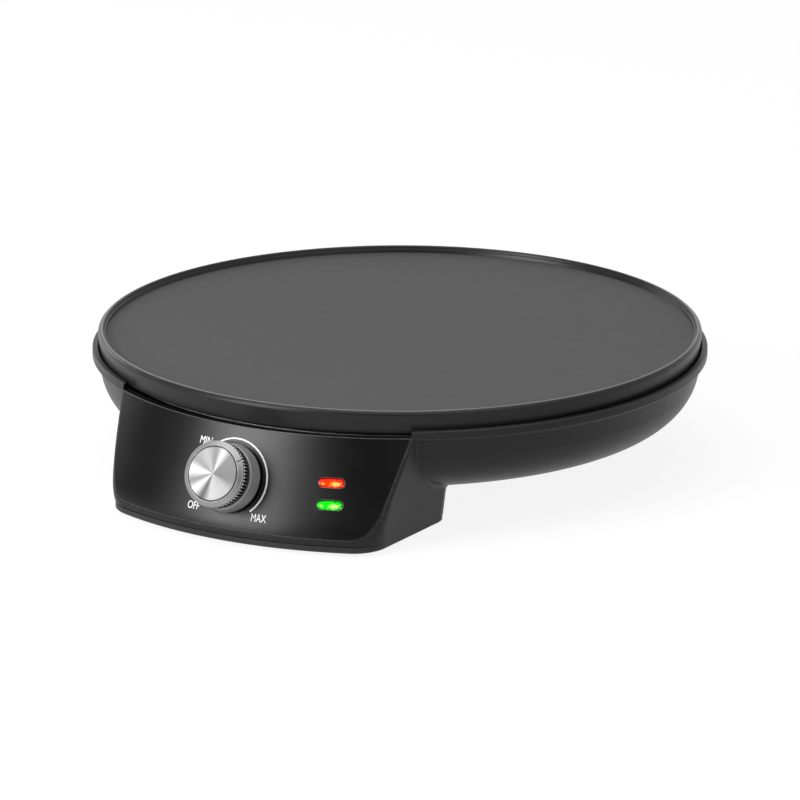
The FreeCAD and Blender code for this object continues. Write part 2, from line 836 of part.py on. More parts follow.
def panel_prism(play):
    """the panel's front view drawn out through the front of the box"""
    top_half = panel_corner_width(panel_top) - panel_margin + play
    bottom_half = panel_corner_width(panel_bottom) - panel_margin + play
    low = panel_bottom - play
    near = -(box_back + flange_radius) / 2.0
    above = crest_height
    corners = [Vec(-top_half, near, above), Vec(top_half, near, above),
               Vec(top_half, near, panel_top), Vec(bottom_half, near, low),
               Vec(-bottom_half, near, low), Vec(-top_half, near, panel_top)]
    face = Part.Face(Part.makePolygon(corners + [corners[0]]))
    reach = far_enough
    prism = face.extrude(Vec(0, -reach, 0))
    lower = [edge for edge in prism.Edges
             if abs(edge.BoundBox.ZMax - low) < 0.01 and edge.BoundBox.YLength > reach / 2.0]
    return prism.makeFillet(panel_corner + play, lower)


def knob_axis_rod(radius, inner, outer):
    """cylinder along the knob's axis between two distances from the panel's face"""
    return on_panel(Part.makeCylinder(radius, outer - inner, Vec(0, 0, inner)),
                    0, knob_height_on_panel)


def lamp_bearing():
    """direction of the lamps round the plate's axis, in degrees from the knob"""
    height = lamp_middle()
    across = panel_corner_width(height) - lamp_from_edge
    return math.degrees(math.asin(across / front_radius(height)))


def lamp_middle():
    return (lamp_height_red + lamp_height_green) / 2.0


def lamp_window_width():
    """height of the window behind both lenses, measured up the slope"""
    spacing = (lamp_height_red - lamp_height_green) / math.cos(tilt)
    return spacing + lens_flange_width + 2 * lamp_window_margin


def lamp_window(bottom, top):
    """opening behind both lenses, in the panel's own frame"""
    window = block(lamp_window_length, lamp_window_width(), bottom, top)
    return on_panel(window, lamp_bearing(), lamp_middle())


def cover_post_places():
    """screw posts near the four corners of the box"""
    slope, reach = side_line(cover_top, housing_wall + cover_post_radius + cover_post_side)
    rear = box_back + cover_post_back
    front = meeting_point(slope, reach, front_radius(cover_top) - cover_post_front)[1]
    return [(side * (reach - slope * forward), -forward)
            for forward in (rear, front) for side in (-1, 1)]


def leg_places():
    return [(-leg_spread, leg_behind), (leg_spread, leg_behind)]


def bracket_screw_places():
    return (-bracket_screw_spacing / 2.0, bracket_screw_spacing / 2.0)


def bracket_posts():
    return [rod(bracket_post_radius, -bracket_depth, 0, x, 0) for x in bracket_screw_places()]


def box_cavity():
    """inside of the control box, open to the bowl in front of its back strip"""
    inset = panel_depth + play_depth + wall_depth
    inner_top = panel_top - housing_wall
    inner = box_solid(0.0, inner_top, inset, housing_wall)
    back_strip = block(4 * box_back_half_width, 2 * box_back_strip, bowl_underside, crest_height,
                       0, -box_back)
    return inner.cut(back_strip)


def blended_outside():
    """bowl and control box in one solid, with the inner corners between them rounded"""
    joined = bowl_outside().fuse(box_solid(chin_bottom, panel_top)).removeSplitter()
    wall_radius = bowl_outline(0)[0]
    corners = []
    for edge in joined.Edges:
        middle = edge.valueAt((edge.FirstParameter + edge.LastParameter) / 2.0)
        on_bowl = math.hypot(middle.x, middle.y) < wall_radius + 0.01
        low_end = edge.BoundBox.ZMin > bowl_underside - 0.1
        if on_bowl and low_end and middle.z < panel_top - 0.5 and middle.y < -0.98 * box_back:
            corners.append(edge)
    return joined.makeFillet(box_blend, corners)


def housing_posts(cavity):
    """screw posts and bosses inside the housing"""
    posts = [rod(cover_post_radius, chin_bottom, bowl_floor + cover_post_rise, x, y).common(cavity)
             for x, y in cover_post_places()]
    posts += [on_panel(post, 0, knob_height_on_panel).common(cavity) for post in bracket_posts()]
    root = bowl_underside + housing_wall / 4.0
    posts += [rod(fixing_post_radius, root, shield_height, x, y) for x, y in fixing_places()]
    posts += [rod(leg_boss_radius, root, bowl_floor + leg_boss_rise, x, y)
              for x, y in leg_places()]
    return posts


def housing_holes():
    """screw holes, and the openings for the knob, the lamps and the supply lead"""
    below = bowl_underside - hole_overrun
    holes = [rod(small_screw_radius + hole_play, chin_bottom - hole_overrun,
                 chin_bottom + cover_screw_grip + hole_overrun, x, y)
             for x, y in cover_post_places()]
    for x in bracket_screw_places():
        hole = rod(small_screw_radius + hole_play, -bracket_depth,
                   bracket_screw_grip + head_overlap - bracket_depth, x, 0)
        holes.append(on_panel(hole, 0, knob_height_on_panel))
    for x, y in fixing_places():
        holes.append(rod(screw_radius + screw_play, below, shield_height + hole_overrun, x, y))
        holes.append(rod(screw_head_radius + fixing_well_play, below, post_seat, x, y))
    for x, y in leg_places():
        holes.append(rod(screw_radius + hole_play, below,
                         bowl_floor + leg_screw_grip + hole_overrun, x, y))
    holes.append(knob_axis_rod(shaft_hole_radius + shaft_room,
                               -bracket_depth - hole_overrun, -panel_thickness / 2.0))
    holes.append(lamp_window(-4 * panel_thickness, -panel_thickness / 2.0))
    holes.append(Part.makeCylinder(gland_body_radius + gland_play, 4 * housing_wall,
                                   Vec(-gland_from_middle, -box_back - 2 * housing_wall, gland_height),
                                   Vec(0, 1, 0)))
    return holes


def base_housing():
    """one moulding: flanged bowl, control box, panel seat, posts and holes"""
    cavity = box_cavity()
    shell = blended_outside().fuse(flange_band()).cut(bowl_inside()).cut(cavity)
    seat = panel_prism(panel_play)
    pocket = seat.cut(front_cone(panel_depth + play_depth, 2 * panel_thickness))
    notch = seat.common(block(far_enough * 4, far_enough * 4, panel_top - panel_notch_depth,
                              crest_height))
    shell = together([shell.cut(pocket).cut(notch)] + housing_posts(cavity))
    for hole in housing_holes():
        shell = shell.cut(hole)
    return shell


# Control panel, lenses and lamps


def lens_pocket():
    slots = []
    for height in (lamp_height_red, lamp_height_green):
        slot = pill(lens_length + 2 * lens_play, lens_width + 2 * lens_play,
                    -2 * panel_thickness, panel_thickness)
        slots.append(on_panel(slot, lamp_bearing(), height))
    return slots


def control_panel():
    """curved gloss panel with a knob seat, a shaft hole and two lens slots"""
    front = box_solid(chin_bottom, panel_top)
    panel = front.common(panel_prism(0.0)).cut(front_cone(panel_depth, panel_thickness))
    seat = knob_axis_rod(panel_recess_radius, -panel_recess_depth, panel_thickness)
    hole = knob_axis_rod(shaft_hole_radius, -2 * panel_thickness, hole_overrun)
    panel = panel.cut(seat).cut(hole)
    for slot in lens_pocket():
        panel = panel.cut(slot)
    return panel


def lamp_lens(height):
    """clear lens with a flange that stops it from falling out through the panel"""
    back = -panel_thickness - lens_flange_thickness
    body = pill(lens_length, lens_width, back, -lens_sink)
    flange = pill(lens_flange_length, lens_flange_width, back, -panel_thickness - lens_seat_gap)
    return on_panel(together([body, flange]), lamp_bearing(), height)


def lamp_offsets():
    """places of the two lamps up the slope, from the middle between them"""
    half = (lamp_height_red - lamp_height_green) / 2.0 / math.cos(tilt)
    return (half, -half)


def lamp_holder():
    """moulded clip plate with a square sleeve for each lamp"""
    back = -panel_thickness - play_depth - housing_wall - holder_seat_gap
    width = lamp_window_width() + 2 * holder_overlap
    plate = block(lamp_window_length + 2 * holder_overlap, width, back - holder_sheet, back)
    outer = 2 * (neon_radius + neon_play + holder_sleeve_wall)
    parts = [plate]
    for offset in lamp_offsets():
        parts.append(block(outer, outer, back - holder_sleeve_length, back, 0, offset))
    holder = together(parts)
    for offset in lamp_offsets():
        bore = rod(neon_radius + neon_play, back - holder_sleeve_length - hole_overrun,
                   back + hole_overrun, 0, offset)
        holder = holder.cut(bore)
    return on_panel(holder, lamp_bearing(), lamp_middle())


def neon_lamps():
    """two small glass indicator lamps with tapered noses"""
    nose = -panel_thickness - lens_flange_thickness - lens_clearance
    back = nose - neon_length
    shoulder = nose - neon_radius
    lamps = []
    for offset in lamp_offsets():
        lamp = turned_points([(0, back), (neon_radius, back), (neon_radius, shoulder),
                              (neon_tip_radius, nose), (0, nose)])
        lamp.translate(Vec(0, offset, 0))
        lamps.append(on_panel(group([lamp]), lamp_bearing(), lamp_middle()))
    return group([lamp for made in lamps for lamp in made.Solids])


# Thermostat


def thermostat_bracket():
    plate = block(bracket_width, bracket_height, -bracket_depth - bracket_sheet, -bracket_depth)
    upright = [edge for edge in plate.Edges if edge.BoundBox.ZLength > bracket_sheet / 2.0]
    plate = plate.makeFillet(bracket_corner, upright)
    through = -bracket_depth - bracket_sheet - hole_overrun
    plate = plate.cut(rod(thermostat_bush_radius + 2 * hole_play, through, 0))
    for x in bracket_screw_places():
        plate = plate.cut(rod(small_screw_radius + 2 * hole_play, through, 0, x, 0))
    return on_panel(plate, 0, knob_height_on_panel)


def thermostat_body():
    top = -bracket_depth - bracket_sheet
    bottom = top - thermostat_length
    body = block(thermostat_width, thermostat_height, bottom, top)
    upright = [edge for edge in body.Edges if edge.BoundBox.ZLength > thermostat_length / 2.0]
    body = body.makeFillet(thermostat_corner, upright)
    bush_top = thermostat_nut_height + bush_proud - bracket_depth
    bush = rod(thermostat_bush_radius, top - join_overlap, bush_top)
    tabs = [block(tab_width, tab_thickness, bottom - thermostat_tab_length, bottom + join_overlap,
                  thermostat_tab_place, side * thermostat_tab_spread) for side in (-1, 1)]
    whole = together([body, bush] + tabs)
    socket_floor = top - shaft_socket - shaft_end_gap
    whole = whole.cut(rod(shaft_radius + bore_play, socket_floor, 0))
    return on_panel(whole, 0, knob_height_on_panel)


def thermostat_nut():
    radius = thermostat_nut_across / 2.0 / math.cos(math.pi / 6)
    corners = [Vec(radius * math.cos(k * math.pi / 3), radius * math.sin(k * math.pi / 3),
                   -bracket_depth) for k in range(6)]
    hexagon = Part.Face(Part.makePolygon(corners + [corners[0]]))
    nut = hexagon.extrude(UP * thermostat_nut_height)
    nut = nut.cut(rod(thermostat_bush_radius + hole_play, -bracket_depth - hole_overrun, 0))
    return on_panel(nut, 0, knob_height_on_panel)


def bracket_screws():
    head_top = -bracket_depth - bracket_sheet
    tip = bracket_screw_grip - bracket_depth
    return group([on_panel(headed_screw(small_screw_radius, small_head_radius, small_head_height,
                                        head_top, tip, x, 0), 0, knob_height_on_panel)
                  for x in bracket_screw_places()])


def thermostat_shaft():
    """turned shaft with a flat that drives the knob"""
    bottom = -bracket_depth - bracket_sheet - shaft_socket
    shaft = rod(shaft_radius, bottom, shaft_top)
    flat = block(4 * shaft_radius, shaft_radius, shaft_flat_start, shaft_top + hole_overrun, 0,
                 1.5 * shaft_radius - shaft_flat)
    return on_panel(shaft.cut(flat), 0, knob_height_on_panel)


# Knob


def knob_core():
    """plastic body of the knob: hub, web and outer sleeve"""
    foot = knob_lift + core_start
    sleeve_outer = skirt_radius_top - knob_wall - knob_seam
    neck_outer = grip_radius - grip_tooth_depth - knob_wall - knob_seam
    top = grip_top - knob_seam
    web = grip_top - core_web
    outer = turned_points([
        (0, foot), (sleeve_outer, foot), (sleeve_outer, knob_skirt_top),
        (neck_outer, knob_skirt_top), (neck_outer, top), (0, top)])
    sleeve_inner = neck_outer + knob_seam - core_sleeve_wall
    core = outer.cut(tube(sleeve_inner, core_hub_radius, foot - hole_overrun, web))
    rib_length = 2 * (sleeve_inner + core_sleeve_wall / 4.0)
    rib = block(rib_length, core_rib, foot + shaft_flat, web + core_sleeve_wall / 4.0)
    cross = rib.copy()
    cross.rotate(Vec(0, 0, 0), UP, 90)
    core = together([core, rib, cross])
    bore = rod(shaft_radius + bore_play, foot - hole_overrun, shaft_top + shaft_end_gap / 2.0)
    key = block(4 * shaft_radius, shaft_radius, shaft_flat_start + 4 * bore_play,
                shaft_top + hole_overrun, 0, 1.5 * shaft_radius - shaft_flat + 2 * bore_play)
    return on_panel(core.cut(bore.cut(key)), 0, knob_height_on_panel)


def knob_skirt():
    """smooth lower ring of the knob, a little wider at the panel"""
    inner = skirt_radius_top - knob_wall
    edge = knob_edge_round
    skirt = turned_points([
        (skirt_radius_base - edge, knob_lift),
        (skirt_radius_base, knob_lift + edge),
        (skirt_radius_base, knob_lift + 3 * edge),
        (skirt_radius_top, knob_skirt_top - edge),
        (skirt_radius_top - edge, knob_skirt_top),
        (inner, knob_skirt_top),
        (inner, knob_lift)])
    return on_panel(skirt, 0, knob_height_on_panel)


def knob_grip():
    """ring with fine straight teeth for the fingers"""
    root = grip_radius - grip_tooth_depth
    bottom = knob_skirt_top + knob_seam
    corners = []
    for tooth in range(grip_teeth):
        for share, radius in ((0.0, root), (grip_flank, grip_radius),
                              (0.5, grip_radius), (0.5 + grip_flank, root)):
            angle = 2 * math.pi * (tooth + share) / grip_teeth
            corners.append(Vec(radius * math.cos(angle), radius * math.sin(angle), bottom))
    face = Part.Face(Part.makePolygon(corners + [corners[0]]))
    ring = face.extrude(UP * (grip_top - bottom))
    ring = ring.cut(rod(root - knob_wall, bottom - hole_overrun, grip_top + hole_overrun))
    return on_panel(ring, 0, knob_height_on_panel)


def knob_bezel():
    """bright bevelled ring with a notch that points at the scale"""
    bottom = grip_top + knob_seam
    width = grip_radius - bezel_inner_radius
    ring = turned_points([
        (grip_radius, bottom), (grip_radius, bezel_edge),
        (grip_radius - bezel_bevel, bezel_edge + bezel_bevel),
        (bezel_inner_radius + bezel_bevel, bezel_top), (bezel_inner_radius, bezel_top - bezel_bevel),
        (bezel_inner_radius, bottom)])
    slope = math.degrees(math.atan2(bezel_top - bezel_edge, width))
    notch = Part.makeBox(bezel_notch_width, 2 * width, width,
                         Vec(-bezel_notch_width / 2.0, -width / 2.0, -bezel_notch_depth))
    notch.rotate(Vec(0, 0, 0), Vec(1, 0, 0), -slope)
    notch.translate(Vec(0, bezel_inner_radius, bezel_top))
    notch.rotate(Vec(0, 0, 0), UP, -index_bearing)
    return on_panel(ring.cut(notch), 0, knob_height_on_panel)


def knob_cap():
    """spun disc, dished a little towards its middle"""
    dish_floor = cap_top - cap_dish
    cap = turned_points([
        (0, dish_floor), (cap_radius / 2.0, dish_floor + cap_dish / 4.0),
        (cap_radius - cap_edge, cap_top), (cap_radius, cap_top - cap_edge),
        (cap_radius, grip_top + knob_seam), (0, grip_top + knob_seam)])
    return on_panel(cap, 0, knob_height_on_panel)


# Bottom cover, feet, inlet and terminal block


def pad_places():
    """one pad beside each front screw post"""
    reach = front_radius(cover_top) - pad_inset
    across = cover_post_places()[-1][0] - pad_from_post
    return [(side * across, -math.sqrt(reach * reach - across * across)) for side in (-1, 1)]


def cover_well_top():
    """height of the screw heads' seats inside the cover"""
    return cover_bottom + small_head_height - cover_head_proud


def bottom_cover():
    """tray that closes the control box, with a lip inside the housing's wall"""
    level = cover_bottom + cover_edge_chamfer
    front = front_radius(panel_bottom)
    outline = [box_section(height, inset, inset, front)
               for height, inset in ((cover_bottom, cover_edge_chamfer), (level, 0.0))]
    plate = Part.makeLoft(outline, True, True)
    plate = plate.fuse(Part.Face(outline[1]).extrude(UP * (cover_top - level)))
    side = housing_wall + cover_lip_play
    inset = housing_wall + panel_depth + play_depth + 2 * cover_lip_play
    lip_wire = box_section(cover_floor, inset, side)
    hollow_wire = box_section(cover_floor, inset + cover_lip_wall, side + cover_lip_wall)
    lip_top = cover_top + cover_lip_height
    lip = Part.Face(lip_wire).extrude(UP * (lip_top - cover_floor))
    hollow = Part.Face(hollow_wire).extrude(UP * (lip_top - cover_floor + hole_overrun))
    whole = plate.fuse(lip).cut(hollow)
    for x, y in cover_post_places():
        whole = whole.cut(rod(cover_post_radius + post_play, cover_top, lip_top + hole_overrun, x, y))
        whole = whole.fuse(rod(cover_post_radius, level, cover_top, x, y))
    whole = whole.removeSplitter()
    below = cover_bottom - hole_overrun
    for x, y in cover_post_places():
        whole = whole.cut(rod(small_screw_radius + screw_play, below, cover_top + hole_overrun, x, y))
        whole = whole.cut(rod(small_head_radius + post_play, below, cover_well_top(), x, y))
    for x, y in pad_places():
        whole = whole.cut(rod(pad_radius + pad_play, below, cover_bottom + pad_sink, x, y))
    return whole


def cover_screws():
    return group([headed_screw(small_screw_radius, small_head_radius,
                               small_head_height - cover_head_trim, cover_well_top(),
                               chin_bottom + cover_screw_grip, x, y)
                  for x, y in cover_post_places()])


def foot_pad(x, y, radius, top):
    """soft pad with a chamfered lower edge"""
    pad = turned_points([(0, 0), (radius - pad_chamfer, 0), (radius, pad_chamfer),
                         (radius, top), (0, top)])
    pad.translate(Vec(x, y, 0))
    return pad


def front_pads():
    top = cover_bottom + pad_sink
    return group([foot_pad(x, y, pad_radius, top) for x, y in pad_places()])


def rear_pads():
    top = pad_height + pad_sink
    return group([foot_pad(x, y, pad_radius + rear_pad_growth, top) for x, y in leg_places()])


def rear_leg(x, y):
    """tapered hollow leg, screwed up into the bowl through its own floor"""
    rise = bowl_underside - pad_height
    leg = Part.makeCone(leg_bottom_radius, leg_top_radius, rise, Vec(x, y, pad_height))
    leg = leg.cut(rod(pad_radius + rear_pad_growth + pad_play, pad_height - hole_overrun,
                      pad_height + pad_sink, x, y))
    leg = leg.cut(rod(screw_head_radius + fixing_well_play, pad_height,
                      pad_height + rise * leg_seat, x, y))
    return leg.cut(rod(screw_radius + screw_play, pad_height, bowl_underside + hole_overrun, x, y))


def leg_screws():
    head_top = pad_height + (bowl_underside - pad_height) * leg_seat
    return group([headed_screw(screw_radius, screw_head_radius, screw_head_height, head_top,
                               bowl_floor + leg_screw_grip, x, y) for x, y in leg_places()])


def cord_inlet():
    """bush in the back wall of the box that the supply lead passes through"""
    face = -box_back + gland_flange_thickness
    length = gland_flange_thickness + housing_wall + gland_tail
    start = Vec(-gland_from_middle, face, gland_height)
    inwards = Vec(0, -1, 0)
    flange = Part.makeCylinder(gland_flange_radius, gland_flange_thickness, start, inwards)
    body = Part.makeCylinder(gland_body_radius, length, start, inwards)
    bore = Part.makeCylinder(gland_bore_radius, length, start, inwards)
    return together([flange, body]).cut(bore)


def terminal_block():
    """nylon block where the supply lead meets the inner wires"""
    bottom = cover_floor
    top = bottom + block_height
    forward = box_back + block_from_back
    body = block(block_length, block_width, bottom, top, -block_from_middle, -forward)
    pitch = block_length / block_ways
    for way in range(block_ways):
        x = (way - (block_ways - 1) / 2.0) * pitch - block_from_middle
        start = Vec(x, -forward - block_width / 2.0, bottom + block_bore_height)
        body = body.cut(Part.makeCylinder(block_bore_radius, block_width, start, Vec(0, 1, 0)))
        body = body.cut(rod(block_screw_radius, bottom + block_screw_floor, top + hole_overrun,
                            x, block_screw_place - forward))
    for way in range(block_ways - 1):
        x = (way - (block_ways - 2) / 2.0) * pitch - block_from_middle
        body = body.cut(block(block_slot, block_width, bottom + block_slot_floor,
                              top + hole_overrun, x, -forward))
    return body


def all_pieces():
    return {
        "cooking_plate": cooking_plate(),
        "heating_element": heating_element(),
        "element_terminals": element_terminals(),
        "sensor_bulb": sensor_bulb(),
        "sensor_clip": sensor_clip(),
        "overheat_cutout": overheat_cutout(),
        "capillary_tube": capillary_tube(),
        "heat_shield": heat_shield(),
        "plate_spacers": plate_spacers(),
        "plate_screws": plate_screws(),
        "base_housing": base_housing(),
        "control_panel": control_panel(),
        "power_lamp_lens": lamp_lens(lamp_height_red),
        "ready_lamp_lens": lamp_lens(lamp_height_green),
        "lamp_holder": lamp_holder(),
        "neon_lamps": neon_lamps(),
        "thermostat_bracket": thermostat_bracket(),
        "thermostat_body": thermostat_body(),
        "thermostat_nut": thermostat_nut(),
        "bracket_screws": bracket_screws(),
        "thermostat_shaft": thermostat_shaft(),
        "knob_core": knob_core(),
        "knob_skirt": knob_skirt(),
        "knob_grip": knob_grip(),
        "knob_bezel": knob_bezel(),
        "knob_cap": knob_cap(),
        "bottom_cover": bottom_cover(),
        "cover_screws": cover_screws(),
        "front_foot_pads": front_pads(),
        "rear_leg_left": rear_leg(*leg_places()[0]),
        "rear_leg_right": rear_leg(*leg_places()[1]),
        "rear_foot_pads": rear_pads(),
        "leg_screws": leg_screws(),
        "cord_inlet": cord_inlet(),
        "terminal_block": terminal_block(),
    }


def write_out(pieces):
    os.makedirs("parts", exist_ok=True)
    for name, shape in pieces.items():
        moved = shape.copy()
        moved.translate(Vec(0, axis_shift, 0))
        moved.exportStep("parts/" + name + ".step")
        box = moved.BoundBox
        print(name, moved.isValid(), len(moved.Solids), round(moved.Volume / 1000.0, 2),
              [round(value, 1) for value in (box.XMin, box.YMin, box.ZMin,
                                             box.XMax, box.YMax, box.ZMax)])


write_out(all_pieces())
print("plate axis at y", round(axis_shift, 4))
print("front pad at", [round(value, 3) for value in pad_places()[1]])
print("lamps at bearing", round(lamp_bearing(), 3))
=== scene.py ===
import bpy
import json
import math
from mathutils import Matrix, Vector


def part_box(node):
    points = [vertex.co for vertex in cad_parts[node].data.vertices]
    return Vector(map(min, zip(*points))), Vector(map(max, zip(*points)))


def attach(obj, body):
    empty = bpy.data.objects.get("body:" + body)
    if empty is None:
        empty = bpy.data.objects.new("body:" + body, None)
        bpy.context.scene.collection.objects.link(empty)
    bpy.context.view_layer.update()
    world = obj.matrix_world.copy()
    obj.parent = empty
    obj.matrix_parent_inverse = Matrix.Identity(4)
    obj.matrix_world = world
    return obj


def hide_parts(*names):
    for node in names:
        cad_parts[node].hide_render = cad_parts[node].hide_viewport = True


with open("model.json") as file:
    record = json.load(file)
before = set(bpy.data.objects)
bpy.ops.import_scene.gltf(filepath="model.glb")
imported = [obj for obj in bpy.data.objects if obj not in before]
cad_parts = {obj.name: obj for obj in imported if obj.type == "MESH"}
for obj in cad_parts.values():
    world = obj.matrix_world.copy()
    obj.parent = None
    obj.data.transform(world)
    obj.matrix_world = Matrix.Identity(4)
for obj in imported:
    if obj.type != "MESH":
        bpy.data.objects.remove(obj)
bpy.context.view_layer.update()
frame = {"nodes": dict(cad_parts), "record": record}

# Base housing: one black moulding that holds the round bowl and the control box under its
# front edge. It is moulded in a heat-proof plastic with a fine satin grain, and everything
# else is screwed into it.


def feed(tree, node, sockets):
    """gives each socket of a shader node a plain value, or the output of another node"""
    for name, value in sockets.items():
        socket = node.inputs[name]
        if isinstance(value, bpy.types.NodeSocket):
            tree.links.new(value, socket)
        else:
            socket.default_value = value


def put(tree, kind, sockets=None, **settings):
    """adds a shader node with its settings, and feeds its sockets"""
    made = tree.nodes.new(kind)
    for name, value in settings.items():
        setattr(made, name, value)
    feed(tree, made, sockets or {})
    return made


def math_of(tree, operation, first, second=0.0, clamp=False):
    """one step of arithmetic on numbers"""
    made = put(tree, "ShaderNodeMath", {0: first, 1: second}, operation=operation, use_clamp=clamp)
    return made.outputs[0]


def vector_of(tree, operation, first, second):
    """one step of arithmetic on vectors or colours, where a dot product gives a number"""
    made = put(tree, "ShaderNodeVectorMath", {0: first, 1: second}, operation=operation)
    return made.outputs["Value" if operation == "DOT_PRODUCT" else "Vector"]


def blend_of(tree, share, first, second):
    """mixes two colours by a share between 0 and 1"""
    first, second = [(*each, 1) if isinstance(each, tuple) else each for each in (first, second)]
    made = put(tree, "ShaderNodeMix", {0: share, 6: first, 7: second}, data_type="RGBA")
    return made.outputs[2]


def range_of(tree, value, low, high, start=0.0, end=1.0):
    """carries a value from one range to another and keeps it inside"""
    made = put(tree, "ShaderNodeMapRange", {"Value": value, "From Min": low, "From Max": high,
                                            "To Min": start, "To Max": end})
    return made.outputs["Result"]


def noise_to(tree, noise, start, end, low=0.3, high=0.7):
    """spreads a noise value, which seldom leaves the middle of its range, over a new range"""
    return range_of(tree, noise, low, high, start, end)


def place_of(tree):
    """where on the object a point is, in metres"""
    return put(tree, "ShaderNodeTexCoord").outputs["Object"]


def new_group(name, inputs, outputs):
    """an empty group with named number inputs, and outputs of the given kinds"""
    tree = bpy.data.node_groups.new(name, "ShaderNodeTree")
    for label, value in inputs.items():
        socket = tree.interface.new_socket(label, in_out="INPUT", socket_type="NodeSocketFloat")
        socket.default_value = value
    for label, kind in outputs.items():
        tree.interface.new_socket(label, in_out="OUTPUT", socket_type=kind)
    return tree, tree.nodes.new("NodeGroupInput"), tree.nodes.new("NodeGroupOutput")


def edge_group():
    """rounds the corners that light catches, and gives a mask of where they are"""
    flat_match, corner_match = 0.995, 0.86
    tree, given, result = new_group("caught_edges", {"Radius": 0.0004},
                                    {"Edge": "NodeSocketFloat", "Normal": "NodeSocketVector"})
    bevel = put(tree, "ShaderNodeBevel", {"Radius": given.outputs["Radius"]}, samples=4)
    shape = put(tree, "ShaderNodeNewGeometry")
    match = vector_of(tree, "DOT_PRODUCT", bevel.outputs["Normal"], shape.outputs["Normal"])
    feed(tree, result, {"Edge": range_of(tree, match, flat_match, corner_match),
                        "Normal": bevel.outputs["Normal"]})
    return tree


def grain_group():
    """fine moulded or sprayed grain, with slow cloudy patches over it"""
    tree, given, result = new_group("fine_grain", {"Scale": 1500.0, "Patches": 25.0},
                                    {"Height": "NodeSocketFloat", "Cloud": "NodeSocketFloat"})
    place = place_of(tree)
    fine = put(tree, "ShaderNodeTexNoise", {"Vector": place, "Scale": given.outputs["Scale"],
                                            "Detail": 2.0, "Roughness": 0.55})
    slow = put(tree, "ShaderNodeTexNoise", {"Vector": place, "Scale": given.outputs["Patches"],
                                            "Detail": 3.0, "Roughness": 0.5})
    feed(tree, result, {"Height": fine.outputs["Fac"], "Cloud": slow.outputs["Fac"]})
    return tree


def dust_group():
    """a thin haze of dust that settles where a surface faces up"""
    steepest, thinnest, thickest = 0.2, 0.45, 0.8
    tree, given, result = new_group("settled_dust", {"Amount": 0.03}, {"Dust": "NodeSocketFloat"})
    shape = put(tree, "ShaderNodeNewGeometry")
    facing = put(tree, "ShaderNodeSeparateXYZ", {0: shape.outputs["Normal"]}).outputs["Z"]
    specks = put(tree, "ShaderNodeTexNoise", {"Vector": place_of(tree), "Scale": 180.0,
                                              "Detail": 4.0})
    upward = range_of(tree, facing, steepest, 1.0)
    spread = range_of(tree, specks.outputs["Fac"], thinnest, thickest)
    settled = math_of(tree, "MULTIPLY", upward, spread)
    feed(tree, result, {"Dust": math_of(tree, "MULTIPLY", settled, given.outputs["Amount"])})
    return tree


caught_edges = edge_group()
fine_grain = grain_group()
settled_dust = dust_group()


def place_group(tree, group, **inputs):
    """places a shared effect in a material with values of its own"""
    return put(tree, "ShaderNodeGroup", inputs, node_tree=group)


def relief_of(tree, height, depth, edges=None):
    """fine relief of the surface, laid over its rounded corners where they are given"""
    sockets = {"Height": height, "Strength": 1.0, "Distance": depth}
    if edges:
        sockets["Normal"] = edges.outputs["Normal"]
    return put(tree, "ShaderNodeBump", sockets).outputs["Normal"]


def new_finish(name):
    """a material with its tree and its shader, which is joined to the output"""
    material = bpy.data.materials.new(name)
    material.use_nodes = True
    tree = material.node_tree
    tree.nodes.clear()
    shader = put(tree, "ShaderNodeBsdfPrincipled")
    put(tree, "ShaderNodeOutputMaterial", {"Surface": shader.outputs["BSDF"]})
    return material, tree, shader


def moulded_finish(name, colour, edge_glint, rough, grain_scale, grain_depth, edge_radius,
                   dust=0.02, shine=0.3):
    """moulded plastic or rubber: grain, cloudy gloss, edges painted paler as a highlight, and a
    trace of dust
    """
    shade, glint_share, unevenness = 0.8, 0.5, 0.03
    dust_colour = (0.55, 0.53, 0.5)
    material, tree, shader = new_finish(name)
    grain = place_group(tree, fine_grain, Scale=grain_scale)
    edges = place_group(tree, caught_edges, Radius=edge_radius)
    haze = place_group(tree, settled_dust, Amount=dust)
    cloud = noise_to(tree, grain.outputs["Cloud"], 0.0, 1.0)
    body = blend_of(tree, cloud, tuple(value * shade for value in colour), colour)
    # painted highlight: the corners that catch the light are painted in a paler colour
    glint = math_of(tree, "MULTIPLY", edges.outputs["Edge"], glint_share)
    body = blend_of(tree, glint, body, edge_glint)
    body = blend_of(tree, haze.outputs["Dust"], body, dust_colour)
    gloss = noise_to(tree, grain.outputs["Cloud"], rough - unevenness, rough + unevenness)
    relief = relief_of(tree, grain.outputs["Height"], grain_depth, edges)
    feed(tree, shader, {"Base Color": body, "Roughness": gloss, "Normal": relief,
                        "Specular IOR Level": shine})
    return material


def dress(material, *names):
    """gives solids that keep their shape their finish"""
    for name in names:
        slots = frame["nodes"][name].data.materials
        slots.clear()
        slots.append(material)


housing_finish = moulded_finish("housing_black", (0.014, 0.014, 0.015), (0.05, 0.05, 0.052),
                                rough=0.38, grain_scale=2200.0, grain_depth=0.000012,
                                edge_radius=0.0006, shine=0.22)
dress(housing_finish, "base_housing", "lamp_holder")

# Rear legs: two hollow tapered plugs, moulded in a coarser black plastic and screwed up into
# bosses under the bowl. The tray that closes the control box is made of the same plastic.
cover_finish = moulded_finish("cover_black", (0.022, 0.022, 0.023), (0.07, 0.07, 0.07),
                              rough=0.46, grain_scale=1500.0, grain_depth=0.00003,
                              edge_radius=0.0004)
dress(cover_finish, "rear_leg_left", "rear_leg_right")

# Cord inlet: a black nylon bush, smooth and a little waxy. It is pushed into the back wall of
# the control box and lines the round hole there.
inlet_finish = moulded_finish("inlet_nylon", (0.018, 0.018, 0.018), (0.06, 0.06, 0.06),
                              rough=0.38, grain_scale=900.0, grain_depth=0.00001,
                              edge_radius=0.0003)
dress(inlet_finish, "cord_inlet")

# Heat shield: a dished sheet of aluminised steel on three posts of the bowl. Rolling leaves
# it dull and bright, with faint cloudy spangle, and the heat yellows it a little.


